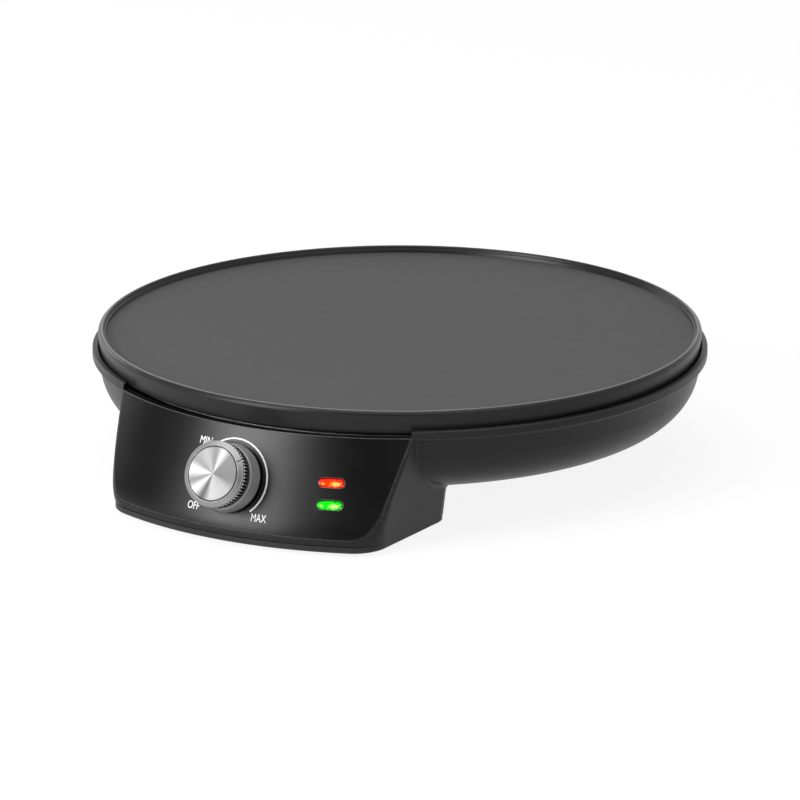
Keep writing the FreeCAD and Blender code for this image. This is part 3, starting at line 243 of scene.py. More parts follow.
def metal_finish(name, colour, tinted, rough, grain_scale, grain_depth, edge_radius=0.0002,
                 metal=1.0):
    """bare or plated metal: rolled or turned grain, cloudy tint, and edges painted brighter as a
    highlight
    """
    edge_gain, brightest = 1.3, 0.95
    smoother, duller = 0.05, 0.06
    material, tree, shader = new_finish(name)
    grain = place_group(tree, fine_grain, Scale=grain_scale, Patches=40.0)
    edges = place_group(tree, caught_edges, Radius=edge_radius)
    cloud = noise_to(tree, grain.outputs["Cloud"], 0.0, 1.0, low=0.35)
    body = blend_of(tree, cloud, colour, tinted)
    # painted highlight: the corners that catch the light are painted brighter
    edge_glint_colour = tuple(min(value * edge_gain, brightest) for value in colour)
    body = blend_of(tree, edges.outputs["Edge"], body, edge_glint_colour)
    gloss = noise_to(tree, grain.outputs["Cloud"], rough - smoother, rough + duller)
    relief = relief_of(tree, grain.outputs["Height"], grain_depth, edges)
    feed(tree, shader, {"Base Color": body, "Roughness": gloss, "Normal": relief,
                        "Metallic": metal})
    return material


shield_finish = metal_finish("aluminised_steel", (0.62, 0.62, 0.62), (0.6, 0.57, 0.5),
                             rough=0.42, grain_scale=600.0, grain_depth=0.00001)
dress(shield_finish, "heat_shield")

# Small steel parts: spacers, screws, the spring clip, the bracket, the nut, the shaft and the
# element's terminals. They are turned or pressed from steel and plated with zinc.
plated_finish = metal_finish("plated_steel", (0.6, 0.6, 0.58), (0.52, 0.53, 0.55),
                             rough=0.3, grain_scale=3000.0, grain_depth=0.000008)
dress(plated_finish, "plate_spacers", "plate_screws", "sensor_clip", "thermostat_bracket",
      "thermostat_nut", "bracket_screws", "thermostat_shaft", "element_terminals",
      "leg_screws", "cover_screws")

# Heating element: a steel tube filled with a wire in packed powder, bent to one long loop and
# pressed into the rib under the plate. The heat has turned it dark brown and blue.
sheath_finish = metal_finish("sheath_steel", (0.2, 0.18, 0.15), (0.13, 0.12, 0.14),
                             rough=0.5, grain_scale=1200.0, grain_depth=0.00002)
dress(sheath_finish, "heating_element")

# Sensor bulb and its thin tube: drawn copper, filled with oil and bent by hand to the back of
# the thermostat, with brown spots where fingers touched it.
copper_finish = metal_finish("copper", (0.72, 0.38, 0.24), (0.45, 0.23, 0.15),
                             rough=0.33, grain_scale=2000.0, grain_depth=0.000006)
dress(copper_finish, "sensor_bulb", "capillary_tube")

# Overheat cut-out and thermostat: their cases are moulded in a dark brown thermoset, slightly
# speckled, and carry flat tabs for the wires.
phenolic_finish = moulded_finish("phenolic", (0.05, 0.035, 0.028), (0.13, 0.1, 0.08),
                                 rough=0.42, grain_scale=2600.0, grain_depth=0.00001,
                                 edge_radius=0.0003)
dress(phenolic_finish, "overheat_cutout", "thermostat_body")

# Cooking plate: cast aluminium, turned on its rim and sprayed with a non-stick coating. The sunken
# cooking face is a matt grey, with a fine speckle, and the rim and the skirt are a smoother
# near-black.
plate_low, plate_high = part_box("cooking_plate")
plate_middle = (plate_low[1] + plate_high[1]) / 2
plate_rim = (plate_high[0] - plate_low[0]) / 2
crest = plate_high[2]


def length_of(tree, vector):
    """length of a vector"""
    return put(tree, "ShaderNodeVectorMath", {0: vector}, operation="LENGTH").outputs["Value"]


def from_upright(tree, place):
    """how far a place is from the upright line through its origin"""
    return length_of(tree, vector_of(tree, "MULTIPLY", place, (1, 1, 0)))


def height_of(tree, place):
    """height of a place"""
    return put(tree, "ShaderNodeSeparateXYZ", {0: place}).outputs["Z"]


def plate_finish():
    """paler grey on the sunken face, near-black round it, and a thin painted highlight along the
    crest
    """
    face_edge, edge_blur = plate_rim - 0.0046, 0.0002
    face_foot, foot_blur = crest - 0.0065, 0.0005
    highlight_foot, highlight_top = crest - 0.0003, crest - 0.00005
    highlight_inner, highlight_outer = plate_rim - 0.0026, plate_rim - 0.0018
    crest_highlight_share, speck_share = 0.75, 0.5
    speck_outer, speck_core = 0.16, 0.05
    face_grey, speck_grey, crest_highlight_grey = (0.06, 0.06, 0.06), (0.1, 0.1, 0.1), (0.3, 0.3, 0.3)
    rim_black, dust_colour = (0.016, 0.016, 0.017), (0.5, 0.5, 0.48)
    rim_rough, face_rough, unevenness = 0.3, 0.62, 0.02
    cloud_dark, cloud_pale = 0.9, 1.04
    material, tree, shader = new_finish("coated_cast")
    place = place_of(tree)
    radius = from_upright(tree, vector_of(tree, "SUBTRACT", place, (0, plate_middle, 0)))
    height = height_of(tree, place)
    inside = range_of(tree, radius, face_edge + edge_blur, face_edge - edge_blur)
    above = range_of(tree, height, face_foot, face_foot + foot_blur)
    face = math_of(tree, "MULTIPLY", inside, above)
    specks = put(tree, "ShaderNodeTexVoronoi", {"Vector": place, "Scale": 900.0})
    speckle = range_of(tree, specks.outputs["Distance"], speck_outer, speck_core,
                       end=speck_share)
    grain = place_group(tree, fine_grain, Scale=1800.0, Patches=12.0)
    edges = place_group(tree, caught_edges, Radius=0.0008)
    haze = place_group(tree, settled_dust, Amount=0.015)
    coat = vector_of(tree, "MULTIPLY", blend_of(tree, speckle, face_grey, speck_grey),
                     noise_to(tree, grain.outputs["Cloud"], cloud_dark, cloud_pale))
    body = blend_of(tree, face, rim_black, coat)
    # painted highlight: a thin pale line along the top of the crest, where the overhead light
    # catches it
    top = range_of(tree, height, highlight_foot, highlight_top, end=crest_highlight_share)
    outer = range_of(tree, radius, highlight_inner, highlight_outer)
    body = blend_of(tree, math_of(tree, "MULTIPLY", top, outer), body, crest_highlight_grey)
    body = blend_of(tree, haze.outputs["Dust"], body, dust_colour)
    gloss = math_of(tree, "ADD", range_of(tree, face, 0.0, 1.0, rim_rough, face_rough),
                    noise_to(tree, grain.outputs["Cloud"], -unevenness, unevenness))
    relief = relief_of(tree, grain.outputs["Height"], 0.00003, edges)
    feed(tree, shader, {"Base Color": body, "Roughness": gloss, "Normal": relief,
                        "Specular IOR Level": 0.2})
    return material


dress(plate_finish(), "cooking_plate")

# Glow lamps: two small glass bulbs filled with a gas that glows a warm orange. They are pushed
# into the sleeves of the lamp holder, one behind each lens.


def bulb_finish():
    """glass that is lit all through, a little unevenly"""
    deep_glow, pale_glow = (1.0, 0.45, 0.2), (1.0, 0.65, 0.35)
    material, tree, shader = new_finish("lamp_glass")
    grain = place_group(tree, fine_grain, Scale=700.0)
    glow = blend_of(tree, grain.outputs["Cloud"], deep_glow, pale_glow)
    gloss = noise_to(tree, grain.outputs["Height"], 0.04, 0.1, low=0.2, high=0.8)
    feed(tree, shader, {"Base Color": glow, "Emission Color": glow, "Roughness": gloss,
                        "Emission Strength": 0.8})
    return material


dress(bulb_finish(), "neon_lamps")

# Control panel: a curved plate of black plastic with a soft gloss, held in a step of the housing's
# front. Its edge is cut to a thin bevel that catches the light, and the pale grey along that edge
# is a painted highlight.
panel_finish = moulded_finish("panel_gloss", (0.003, 0.003, 0.0032), (0.42, 0.42, 0.43),
                              rough=0.32, grain_scale=5000.0, grain_depth=0.000002,
                              edge_radius=0.0006, dust=0.002, shine=0.3)
dress(panel_finish, "control_panel")

# Printed scale: a white arc that swells from MIN to MAX, and three words, screen printed on
# the panel round the knob. The ink stands a few hundredths of a millimetre proud.
knob_joint = frame["record"]["behaviour"]["joints"][0]
knob_foot = Vector(knob_joint["pos_m"])
knob_inwards = Vector(knob_joint["axis"]).normalized()
lean = math.atan2(-knob_inwards.z, knob_inwards.y)
foot_radius = plate_middle - knob_foot.y
ink_thickness = 0.00004
word_height = 0.0037


def panel_ways(bearing):
    """the way out from the panel at a bearing, and the ways along it and up its slope"""
    ahead = Vector((math.sin(bearing), -math.cos(bearing), 0))
    outwards = ahead * math.cos(lean) + Vector((0, 0, 1)) * math.sin(lean)
    across = Vector((math.cos(bearing), math.sin(bearing), 0))
    return outwards, across, outwards.cross(across)


def on_panel(across, up, out):
    """point on the curved panel: along it and up its slope from the knob, and out from it"""
    search_height = 0.01
    bearing = across / foot_radius
    outwards = panel_ways(bearing)[0]
    radius = foot_radius - up * math.sin(lean)
    spot = Vector((math.sin(bearing) * radius, plate_middle - math.cos(bearing) * radius,
                   knob_foot.z + up * math.cos(lean)))
    panel = frame["nodes"]["control_panel"]
    found, face_spot = panel.ray_cast(spot + outwards * search_height, -outwards)[:2]
    return (face_spot if found else spot) + outwards * out


def ink_finish():
    """white ink, slightly thinner in patches and with a dry gloss"""
    thin_white, full_white = (0.9, 0.9, 0.9), (0.97, 0.97, 0.96)
    material, tree, shader = new_finish("scale_ink")
    grain = place_group(tree, fine_grain, Scale=4000.0, Patches=300.0)
    cover = noise_to(tree, grain.outputs["Cloud"], 0.0, 1.0)
    feed(tree, shader, {"Base Color": blend_of(tree, cover, thin_white, full_white),
                        "Roughness": noise_to(tree, grain.outputs["Height"], 0.35, 0.5)})
    return material


scale_ink = ink_finish()


def band_faces(rings, count, wrapped=False):
    """faces between rings of points, and from the last ring back to the first if wrapped"""
    faces = []
    for ring in range(rings if wrapped else rings - 1):
        here, there = ring * count, (ring + 1) % rings * count
        for k in range(count):
            after = (k + 1) % count
            faces.append((here + k, here + after, there + after, there + k))
    return faces


def capped_faces(rings, count):
    """faces between rings of points, with one more over each end"""
    last = (rings - 1) * count
    return band_faces(rings, count) + [tuple(reversed(range(count))),
                                       tuple(last + k for k in range(count))]


def mesh_of(name, points, faces, crisp_angle=None):
    """a mesh that is flat, or smooth but for the corners sharper than its crisp angle"""
    mesh = bpy.data.meshes.new(name)
    mesh.from_pydata(points, [], faces)
    mesh.validate()
    if crisp_angle:
        mesh.shade_smooth()
        mesh.set_sharp_from_angle(angle=math.radians(crisp_angle))
    return mesh


def new_piece(name, mesh, material):
    """puts a mesh with its finish into the scene"""
    mesh.materials.append(material)
    piece = bpy.data.objects.new(name, mesh)
    bpy.context.collection.objects.link(piece)
    return piece


def fix_on(piece, body, node=None):
    """makes a piece ride on a body, in place of a solid if one is given"""
    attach(piece, body)
    if node:
        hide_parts(node)


def printed_arc():
    """a thin band of ink about the knob, a little wider at its far end"""
    radius, steps = 0.0192, 110
    start, end = math.radians(-31), math.radians(138)
    start_half, end_half = 0.00034, 0.00048
    points = []
    for k in range(steps + 1):
        share = k / steps
        turn = start + (end - start) * share
        half = start_half + (end_half - start_half) * share
        for reach, out in ((radius - half, 0), (radius - half, ink_thickness),
                           (radius + half, ink_thickness), (radius + half, 0)):
            points.append(on_panel(reach * math.sin(turn), reach * math.cos(turn), out))
    mesh = mesh_of("dial_scale", points, capped_faces(steps + 1, 4))
    fix_on(new_piece("dial_scale", mesh, scale_ink), "appliance")


def printed_word(name, word, across, up, width):
    """one word, narrowed to its width and wrapped on the panel"""
    letters = bpy.data.curves.new(name, "FONT")
    letters.body = word
    letters.extrude = 0.5
    letters.resolution_u = 4
    draft = bpy.data.objects.new(name + "_draft", letters)
    bpy.context.collection.objects.link(draft)
    bpy.context.view_layer.update()
    mesh = bpy.data.meshes.new_from_object(draft)
    mesh.name = name
    bpy.data.objects.remove(draft)
    xs = [vertex.co.x for vertex in mesh.vertices]
    ys = [vertex.co.y for vertex in mesh.vertices]
    for vertex in mesh.vertices:
        right = across + (vertex.co.x - min(xs)) / (max(xs) - min(xs)) * width
        rise = up + (vertex.co.y - min(ys)) / (max(ys) - min(ys)) * word_height
        vertex.co = on_panel(right, rise, ink_thickness if vertex.co.z > 0 else 0)
    mesh.materials.clear()
    fix_on(new_piece(name, mesh, scale_ink), "appliance")


printed_arc()
printed_word("dial_word_min", "MIN", across=-0.0221, up=0.0137, width=0.0072)
printed_word("dial_word_off", "OFF", across=-0.0205, up=-0.0178, width=0.0066)
printed_word("dial_word_max", "MAX", across=0.0141, up=-0.0187, width=0.0074)

# Lamp lenses: two clear pills, red for power and green for ready, pressed into slots of the
# panel. Each has a domed face, and the lamp behind it lights a hot spot in its middle.
lens_length, lens_width = 0.0127, 0.0045
flange_length, flange_width, flange_thickness = 0.0165, 0.0076, 0.0011
panel_sheet, flange_gap = 0.003, 0.0002
lens_sink, lens_dome = 0.0003, 0.0009


def lens_finish(name, middle, across, upwards, edge_colour, lit_colour, core_colour):
    """tinted lens lit from behind, with its places counted in half lengths and half widths"""
    half_length, half_width = 0.0064, 0.00225
    facets_along, facets_up, waver_depth, spark_share = 2.2, 2.6, 0.3, 0.6
    material, tree, shader = new_finish(name)
    offset = vector_of(tree, "SUBTRACT", place_of(tree), tuple(middle))
    along = vector_of(tree, "DOT_PRODUCT", offset, tuple(across / half_length))
    rise = vector_of(tree, "DOT_PRODUCT", offset, tuple(upwards / half_width))
    facets = put(tree, "ShaderNodeCombineXYZ",
                 {0: math_of(tree, "MULTIPLY", along, facets_along),
                  1: math_of(tree, "MULTIPLY", rise, facets_up)})
    ripple = put(tree, "ShaderNodeTexNoise", {"Vector": facets.outputs[0], "Scale": 1.6,
                                              "Detail": 3.0, "Distortion": 0.6})
    waver = noise_to(tree, ripple.outputs["Fac"], -waver_depth, waver_depth, low=0.35, high=0.65)

    def patch(at_along, at_rise, long, high, inner, outer):
        """share of light round a spot of the lens, wavering with its moulded facets"""
        far = math_of(tree, "DIVIDE", math_of(tree, "SUBTRACT", along, at_along), long)
        tall = math_of(tree, "DIVIDE", math_of(tree, "SUBTRACT", rise, at_rise), high)
        reach = length_of(tree, put(tree, "ShaderNodeCombineXYZ", {0: far, 1: tall}).outputs[0])
        return range_of(tree, math_of(tree, "ADD", reach, waver), outer, inner)

    lit = patch(at_along=0.05, at_rise=0.0, long=1.0, high=1.0, inner=0.65, outer=1.05)
    core = patch(at_along=0.4, at_rise=-0.15, long=0.58, high=0.6, inner=0.3, outer=0.95)
    spark = patch(at_along=-0.62, at_rise=-0.1, long=0.2, high=0.45, inner=0.3, outer=1.0)
    body = blend_of(tree, lit, edge_colour, lit_colour)
    hot = math_of(tree, "MAXIMUM", core, math_of(tree, "MULTIPLY", spark, spark_share))
    glow = blend_of(tree, hot, body, core_colour)
    feed(tree, shader, {"Base Color": body, "Emission Color": glow,
                        "Roughness": noise_to(tree, ripple.outputs["Fac"], 0.06, 0.14),
                        "Emission Strength": 1.0, "Specular IOR Level": 0.3})
    return material


def lens_levels():
    """length, width and height off the panel's face of each ring, from the flange to the dome"""
    dome_steps = 6
    shoulder, behind = -lens_sink - lens_dome, -panel_sheet - flange_gap
    levels = [(flange_length, flange_width, -panel_sheet - flange_thickness),
              (flange_length, flange_width, behind), (lens_length, lens_width, behind),
              (lens_length, lens_width, shoulder)]
    for k in range(1, dome_steps + 1):
        turn = k / dome_steps * math.pi / 2
        shrink = 2 * lens_dome * (1 - math.cos(turn))
        levels.append((lens_length - shrink, lens_width - shrink,
                       shoulder + lens_dome * math.sin(turn)))
    return levels


def lamp_lens(name, node, slot, edge_colour, lit_colour, core_colour):
    """domed pill lens in the slot of the panel, with its flange behind"""
    end_steps, crisp_angle = 14, 40
    low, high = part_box(node)
    middle = Vector([(a + b) / 2 for a, b in zip(low, high)])
    outwards, across, upwards = panel_ways(math.atan2(middle.x, plate_middle - middle.y))
    radius = math.hypot(middle.x, middle.y - plate_middle)
    drop = foot_radius + (knob_foot.z - middle.z) * math.tan(lean) - radius
    face_spot = middle + outwards * (drop * math.cos(lean))
    points = []
    levels = lens_levels()
    for long_side, short_side, out in levels:
        half = (long_side - short_side) / 2
        for side in (1, -1):
            for k in range(end_steps + 1):
                turn = -math.pi / 2 + math.pi * k / end_steps
                x = side * (half + short_side / 2 * math.cos(turn))
                y = side * short_side / 2 * math.sin(turn)
                points.append(face_spot + across * x + upwards * y + outwards * out)
    faces = capped_faces(len(levels), 2 * (end_steps + 1))
    material = lens_finish(slot, face_spot, across, upwards, edge_colour, lit_colour, core_colour)
    lens = new_piece(name, mesh_of(name, points, faces, crisp_angle), material)
    fix_on(lens, "appliance", node)


lamp_lens("power_lens", "power_lamp_lens", "lens_red", edge_colour=(0.3, 0.001, 0.0),
          lit_colour=(1.0, 0.022, 0.0), core_colour=(1.0, 0.78, 0.16))
lamp_lens("ready_lens", "ready_lamp_lens", "lens_green", edge_colour=(0.0, 0.15, 0.0),
          lit_colour=(0.002, 0.7, 0.004), core_colour=(0.8, 1.0, 0.35))

# Knob core: a black plastic moulding, pushed on the thermostat's shaft and held a little clear
# of the panel. The metal rings and the disc are pressed over it and turn with it.
knob_place = Matrix.Translation(knob_foot) @ Matrix.Rotation(math.pi / 2 - lean, 4, "X")
core_finish = moulded_finish("knob_plastic", (0.02, 0.02, 0.02), (0.06, 0.06, 0.06),
                             rough=0.42, grain_scale=1800.0, grain_depth=0.00001,
                             edge_radius=0.0003)
dress(core_finish, "knob_core")

# Knob skirt: a smooth drawn ring of smoked chrome, pressed over the core next to the panel.
# It narrows a little towards the grip, and its outer edges are rolled round.
skirt_inner, skirt_outer, skirt_neck = 0.01445, 0.0165, 0.01605
skirt_foot, skirt_waist, skirt_top = 0.0009, 0.0022, 0.0093
foot_rounding, waist_rounding, top_rounding = 0.0005, 0.0008, 0.0005
skirt_finish = metal_finish("dark_chrome", (0.4, 0.4, 0.405), (0.33, 0.33, 0.335),
                            rough=0.42, grain_scale=2500.0, grain_depth=0.000004,
                            edge_radius=0.0003, metal=0.5)


def rounded(corners, steps=5):
    """outline through corners of radius, height and rounding, with arcs at the rounded ones"""
    outline = []
    for k, (x, y, rounding) in enumerate(corners):
        corner = Vector((x, y))
        if rounding == 0:
            outline.append(corner)
            continue
        before = Vector(corners[k - 1][:2])
        after = Vector(corners[(k + 1) % len(corners)][:2])
        back = (before - corner).normalized()
        on = (after - corner).normalized()
        half_turn = back.angle(on) / 2
        centre = corner + (back + on).normalized() * (rounding / math.sin(half_turn))
        start = corner + back * (rounding / math.tan(half_turn)) - centre
        end = corner + on * (rounding / math.tan(half_turn)) - centre
        for step in range(steps + 1):
            outline.append(centre + start.slerp(end, step / steps) * rounding)
    return outline


def turned_mesh(name, outline, closed, segments):
    """ring or disc turned about its axis from an outline, which is closed for a ring"""
    crisp_angle = 35
    count = len(outline)
    points, faces = [], []
    for k in range(segments):
        turn = 2 * math.pi * k / segments
        points += [(p.x * math.cos(turn), p.x * math.sin(turn), p.y) for p in outline]
    for k in range(segments):
        here, there = k * count, (k + 1) % segments * count
        for j in range(count if closed else count - 1):
            after = (j + 1) % count
            faces.append((here + j, there + j, there + after, here + after))
    return mesh_of(name, points, faces, crisp_angle)


def knob_piece(name, mesh, material, node):
    """a piece that is made about the knob's axis and turns with the knob"""
    piece = new_piece(name, mesh, material)
    piece.matrix_world = knob_place
    fix_on(piece, "knob", node)


skirt_outline = rounded([(skirt_inner, skirt_foot, 0), (skirt_outer, skirt_foot, foot_rounding),
                         (skirt_outer, skirt_waist, waist_rounding),
                         (skirt_neck, skirt_top, top_rounding), (skirt_inner, skirt_top, 0)])
knob_piece("skirt_ring", turned_mesh("skirt_ring", skirt_outline, closed=True, segments=128),
           skirt_finish, "knob_skirt")

# Knob grip: a metal ring with sixty straight teeth for the fingers. The tool chamfers the teeth at
# both ends. The gaps between the teeth are painted dark as shade, their tips are painted paler as
# a sheen, and the chamfers at their ends carry painted highlights.
grip_bottom, grip_top, grip_chamfer = 0.0094, 0.0157, 0.0008
tip_radius, root_radius = 0.01595, 0.0152


def tooth_finish():
    """painted shade between the teeth, a painted sheen on their tips and painted highlights on the
    chamfers at their ends
    """
    shaded_gap_grey, sheen_tip_grey, glint_end_grey = (0.03, 0.03, 0.032), (0.3, 0.3, 0.3), (0.92, 0.92, 0.92)
    tooth_metal, glint_end_metal = 0.9, 0.5
    low_chamfer, high_chamfer = grip_bottom + grip_chamfer, grip_top - grip_chamfer
    before, past = 0.0002, 0.0001
    tip_start, tip_full = tip_radius - 0.00025, tip_radius - 0.00005
    flank_start, flank_full = root_radius + 0.0001, root_radius + 0.00025
    material, tree, shader = new_finish("grip_metal")
    place = place_of(tree)
    radius = from_upright(tree, place)
    height = height_of(tree, place)
    grain = place_group(tree, fine_grain, Scale=3000.0, Patches=200.0)
    # painted sheen on the tips of the teeth and painted shade in the gaps between them
    tip_sheen = range_of(tree, radius, tip_start, tip_full)
    # painted highlights on the chamfers at both ends of the teeth
    low_glint = range_of(tree, height, low_chamfer + before, low_chamfer - past)
    high_glint = range_of(tree, height, high_chamfer - before, high_chamfer + past)
    raised = range_of(tree, radius, flank_start, flank_full)
    end = math_of(tree, "MULTIPLY", math_of(tree, "MAXIMUM", low_glint, high_glint), raised)
    body = blend_of(tree, end, blend_of(tree, tip_sheen, shaded_gap_grey, sheen_tip_grey), glint_end_grey)
    feed(tree, shader, {"Base Color": body,
                        "Roughness": noise_to(tree, grain.outputs["Cloud"], 0.3, 0.42),
                        "Metallic": range_of(tree, end, 0.0, 1.0, tooth_metal, glint_end_metal)})
    return material


def grip_mesh():
    """four levels of teeth outside and a plain bore inside"""
    teeth, bore_radius, end_share, crisp_angle = 60, 0.0136, 0.3, 30
    tooth_profile = (0.0, 0.0, 0.35, 0.9, 1.0, 1.0, 1.0, 0.9, 0.35, 0.0)
    tooth = tip_radius - root_radius
    rings = []
    for height, share in ((grip_bottom, end_share), (grip_bottom + grip_chamfer, 1.0),
                          (grip_top - grip_chamfer, 1.0), (grip_top, end_share)):
        one_tooth = [root_radius + tooth * level * share for level in tooth_profile]
        rings.append((height, one_tooth * teeth))
    count = teeth * len(tooth_profile)
    rings += [(grip_top, [bore_radius] * count), (grip_bottom, [bore_radius] * count)]
    points = []
    for height, radii in rings:
        for k, radius in enumerate(radii):
            turn = 2 * math.pi * k / count
            points.append((radius * math.cos(turn), radius * math.sin(turn), height))
    return mesh_of("grip_ring", points, band_faces(len(rings), count, wrapped=True), crisp_angle)


knob_piece("grip_ring", grip_mesh(), tooth_finish(), "knob_grip")

# Bezel: a bright turned ring with a bevelled face round the spun disc. A small notch milled
# across it points at the scale.
bezel_finish = metal_finish("bezel_metal", (0.34, 0.34, 0.34), (0.28, 0.28, 0.28),
                            rough=0.42, grain_scale=4000.0, grain_depth=0.000004,
                            edge_radius=0.00025)
dress(bezel_finish, "knob_bezel")

# Spun disc: aluminium, turned with a fine tool so that its grooves run in circles. The wedges of
# light that such grooves throw back, from the middle to the edge, are painted into its colour as a
# reflection. It is dished by a third of a millimetre and sits inside the bezel.
disc_bottom, disc_top, disc_dish = 0.0158, 0.0183, 0.00035
disc_radius, dish_radius, half_way = 0.0131, 0.0127, 0.0064
half_way_depth = 0.75 * disc_dish
lip_drop, edge_drop, edge_rounding = 0.00001, 0.0004, 0.0001


def spun_finish():
    """fine round grooves, and a painted reflection in wedges of light, given by their place round
    the disc and strength
    """
    painted_wedges = ((0.0, 0.11), (0.05, 0.27), (0.12, 0.1), (0.27, 0.09), (0.36, 0.18), (0.48, 0.21),
              (0.545, 0.055), (0.62, 0.28), (0.68, 0.115), (0.76, 0.31), (0.83, 0.13),
              (0.92, 0.18), (1.0, 0.11))
    grooves_per_metre = 9000.0
    material, tree, shader = new_finish("spun_metal")
    place = place_of(tree)
    apart = put(tree, "ShaderNodeSeparateXYZ", {0: place})
    turn = math_of(tree, "ARCTAN2", apart.outputs["X"], apart.outputs["Y"])
    half_on = math_of(tree, "ADD", range_of(tree, turn, -math.pi, math.pi), 0.5)
    # painted reflection: the colour is lighter and darker in wedges round the disc's axis
    ramp = put(tree, "ShaderNodeValToRGB", {"Fac": math_of(tree, "FRACT", half_on)})
    ramp.color_ramp.interpolation = "EASE"
    stops = ramp.color_ramp.elements
    for index, (spot, strength) in enumerate(painted_wedges):
        stop = stops[index] if index < 2 else stops.new(spot)
        stop.position = spot
        stop.color = (strength, strength, strength, 1)
    groove = math_of(tree, "MULTIPLY", from_upright(tree, place), grooves_per_metre)
    rings = put(tree, "ShaderNodeTexNoise", {"W": groove, "Scale": 1.0, "Detail": 1.0},
                noise_dimensions="1D")
    fleck = put(tree, "ShaderNodeTexNoise", {"Vector": place, "Scale": 5200.0, "Detail": 1.0})
    spark = noise_to(tree, fleck.outputs["Fac"], 0.82, 1.18, low=0.35, high=0.65)
    lines = noise_to(tree, rings.outputs["Fac"], 0.93, 1.07)
    body = vector_of(tree, "MULTIPLY", ramp.outputs["Color"],
                     math_of(tree, "MULTIPLY", spark, lines))
    feed(tree, shader, {"Base Color": body, "Metallic": 1.0,
                        "Roughness": noise_to(tree, rings.outputs["Fac"], 0.44, 0.54),
                        "Normal": relief_of(tree, rings.outputs["Fac"], 0.000003)})
    return material


disc_outline = rounded([(0.0, disc_top - disc_dish, 0), (half_way, disc_top - half_way_depth, 0),
                        (dish_radius, disc_top - lip_drop, edge_rounding),
                        (disc_radius, disc_top - edge_drop, edge_rounding),
                        (disc_radius, disc_bottom, 0), (0.0, disc_bottom, 0)])
knob_piece("spun_disc", turned_mesh("spun_disc", disc_outline, closed=False, segments=160),
           spun_finish(), "knob_cap")

# Terminal block: natural nylon, slightly yellow and see-through at its edges. It stands on the
# tray's floor, and its clamps join the wires inside the control box.
block_finish = moulded_finish("block_nylon", (0.72, 0.69, 0.6), (0.8, 0.78, 0.7),
                              rough=0.4, grain_scale=900.0, grain_depth=0.00001,
                              edge_radius=0.0003)
dress(block_finish, "terminal_block")

# Bottom cover: the tray that closes the control box from below, with four screws up into the
# housing's posts. It shows as a thin dark band under the panel.
dress(cover_finish, "bottom_cover")

# Foot pads: four moulded rubber pads, pushed into round seats of the tray and the rear legs,
# matt and a little dusty.
rubber_finish = moulded_finish("rubber_black", (0.03, 0.03, 0.03), (0.06, 0.06, 0.058),
                               rough=0.78, grain_scale=700.0, grain_depth=0.00004,
                               edge_radius=0.0003, dust=0.12)
dress(rubber_finish, "front_foot_pads", "rear_foot_pads")

# Table and room: a white sweep that keeps a soft shadow, a wide lamp overhead, a soft box at
# the front left and a weak one at the left. Two dark patches of the room, one on each side of
# the soft box, stand for dark cards, and only gloss sees them.


def shown_white(tree):
    """one where the camera, gloss or glass sees the white sweep, and nothing for its light"""
    path = put(tree, "ShaderNodeLightPath").outputs
    seen = math_of(tree, "ADD", path["Is Camera Ray"], path["Is Glossy Ray"], clamp=True)
    return math_of(tree, "ADD", seen, path["Is Transmission Ray"], clamp=True)


def table_sheet():
    """a wide white sheet just under the feet, lit in part by itself so that it shows white"""
    half, level = 8.0, -0.0002
    white_share, white_strength = 0.82, 1.08
    corners = [(-half, -half, level), (half, -half, level), (half, half, level),
               (-half, half, level)]
    material, tree, shader = new_finish("white_table")
    output = shader.outputs["BSDF"].links[0].to_node
    feed(tree, shader, {"Base Color": (0.8, 0.8, 0.8, 1), "Roughness": 0.9})
    share = math_of(tree, "MULTIPLY", shown_white(tree), white_share)
    glow = put(tree, "ShaderNodeEmission", {"Strength": white_strength})
    mixed = put(tree, "ShaderNodeMixShader", {0: share, 1: shader.outputs["BSDF"],
                                              2: glow.outputs["Emission"]})
    feed(tree, output, {"Surface": mixed.outputs["Shader"]})
    new_piece("table", mesh_of("table", corners, [(0, 1, 2, 3)]), material)


def way_of(bearing, rise):
    """direction from the plate, at a bearing from the front and a rise in degrees"""
    turn, up = math.radians(bearing), math.radians(rise)
    return Vector((math.sin(turn) * math.cos(up), -math.cos(turn) * math.cos(up), math.sin(up)))


def soft_box(name, bearing, rise, distance, width, height, radiance):
    """a flat lamp that faces the plate, with the radiance that gloss sees of it"""
    power_per_area = 4 * radiance
    data = bpy.data.lights.new(name, "AREA")
    data.shape = "RECTANGLE"
    data.size = width
    data.size_y = height
    data.energy = power_per_area * width * height
    way = way_of(bearing, rise)
    box = bpy.data.objects.new(name, data)
    box.location = Vector((0, plate_middle, crest)) + way * distance
    box.rotation_euler = (-way).to_track_quat("-Z", "Y").to_euler()
    bpy.context.collection.objects.link(box)


def dark_card(tree, way, bearing, rise, reach, depth):
    """how much a card darkens a direction, fading over the outer half of its reach in degrees"""
    near = vector_of(tree, "DOT_PRODUCT", way, tuple(way_of(bearing, rise)))
    return range_of(tree, near, math.cos(math.radians(reach)),
                    math.cos(math.radians(reach / 2)), end=depth)


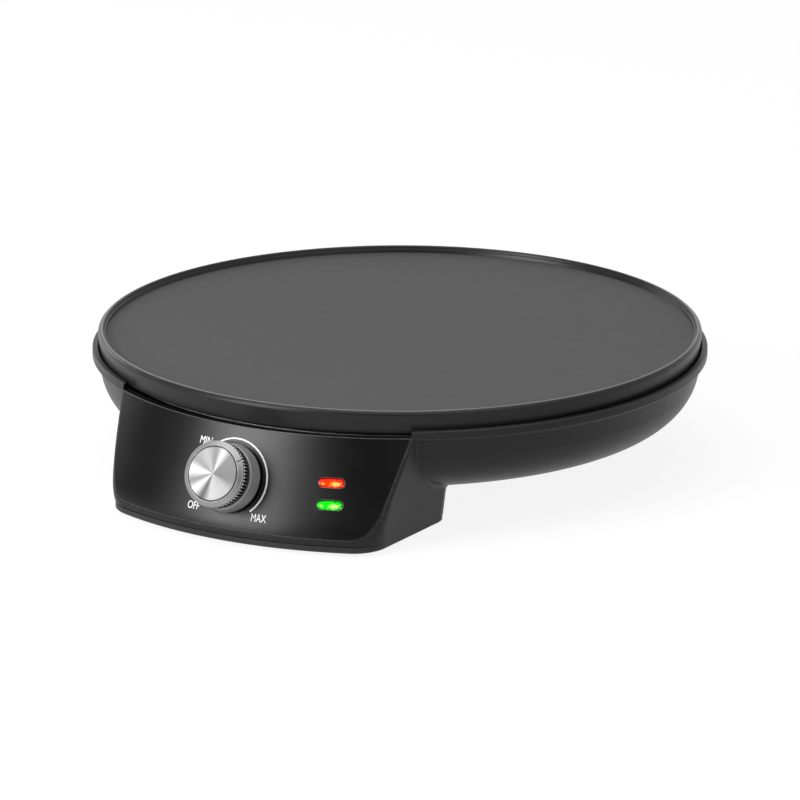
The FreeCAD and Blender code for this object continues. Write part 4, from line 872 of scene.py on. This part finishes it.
def room():
    """white all round for camera and gloss, dim for light, with the two cards in the gloss"""
    room_light, white_rest = 0.22, 0.78
    world = bpy.data.worlds.new("room")
    world.use_nodes = True
    bpy.context.scene.world = world
    tree = world.node_tree
    tree.nodes.clear()
    way = put(tree, "ShaderNodeTexCoord").outputs["Generated"]
    right_card = dark_card(tree, way, bearing=18, rise=22, reach=31, depth=0.98)
    left_card = dark_card(tree, way, bearing=-69, rise=24, reach=27, depth=0.95)
    dark = math_of(tree, "ADD", right_card, left_card, clamp=True)
    glossy = put(tree, "ShaderNodeLightPath").outputs["Is Glossy Ray"]
    dark = math_of(tree, "MULTIPLY", dark, glossy)
    level = math_of(tree, "MULTIPLY", shown_white(tree), white_rest)
    level = math_of(tree, "ADD", level, room_light)
    level = math_of(tree, "SUBTRACT", level, dark, clamp=True)
    light = put(tree, "ShaderNodeBackground", {"Color": (1, 1, 1, 1), "Strength": level})
    put(tree, "ShaderNodeOutputWorld", {"Surface": light.outputs["Background"]})


table_sheet()
soft_box("overhead", bearing=0, rise=88, distance=1.8, width=2.2, height=2.2, radiance=1.15)
soft_box("front_left", bearing=-25, rise=22, distance=1.6, width=0.7, height=0.88, radiance=8.6)
soft_box("left_side", bearing=-105, rise=12, distance=1.6, width=0.5, height=0.5, radiance=2.0)
room()

# Camera: three metres away, a little above the plate, turned towards its right front. The
# long lens keeps the round plate's edges almost parallel, and the picture has no tone curve.


def photo_camera():
    """the lens is the fitted focal length in pixels, for a square picture"""
    distance = 3.0
    bearing, rise, pitch = math.radians(29.7), math.radians(16.124), math.radians(16.845)
    focal_pixels, picture_pixels, sensor = 6035.06, 800, 36
    ahead = Vector((math.sin(bearing), -math.cos(bearing), 0))
    up = Vector((0, 0, 1))
    look = -(ahead * math.cos(pitch) + up * math.sin(pitch))
    data = bpy.data.cameras.new("photo_camera")
    data.sensor_width = sensor
    data.lens = focal_pixels / picture_pixels * sensor
    data.clip_end = 50
    camera = bpy.data.objects.new("photo_camera", data)
    camera.location = (Vector((0, plate_middle, crest)) + ahead * (distance * math.cos(rise))
                       + up * (distance * math.sin(rise)))
    camera.rotation_euler = look.to_track_quat("-Z", "Y").to_euler()
    bpy.context.collection.objects.link(camera)
    bpy.context.scene.camera = camera


photo_camera()
bpy.context.scene.view_settings.view_transform = "Standard"
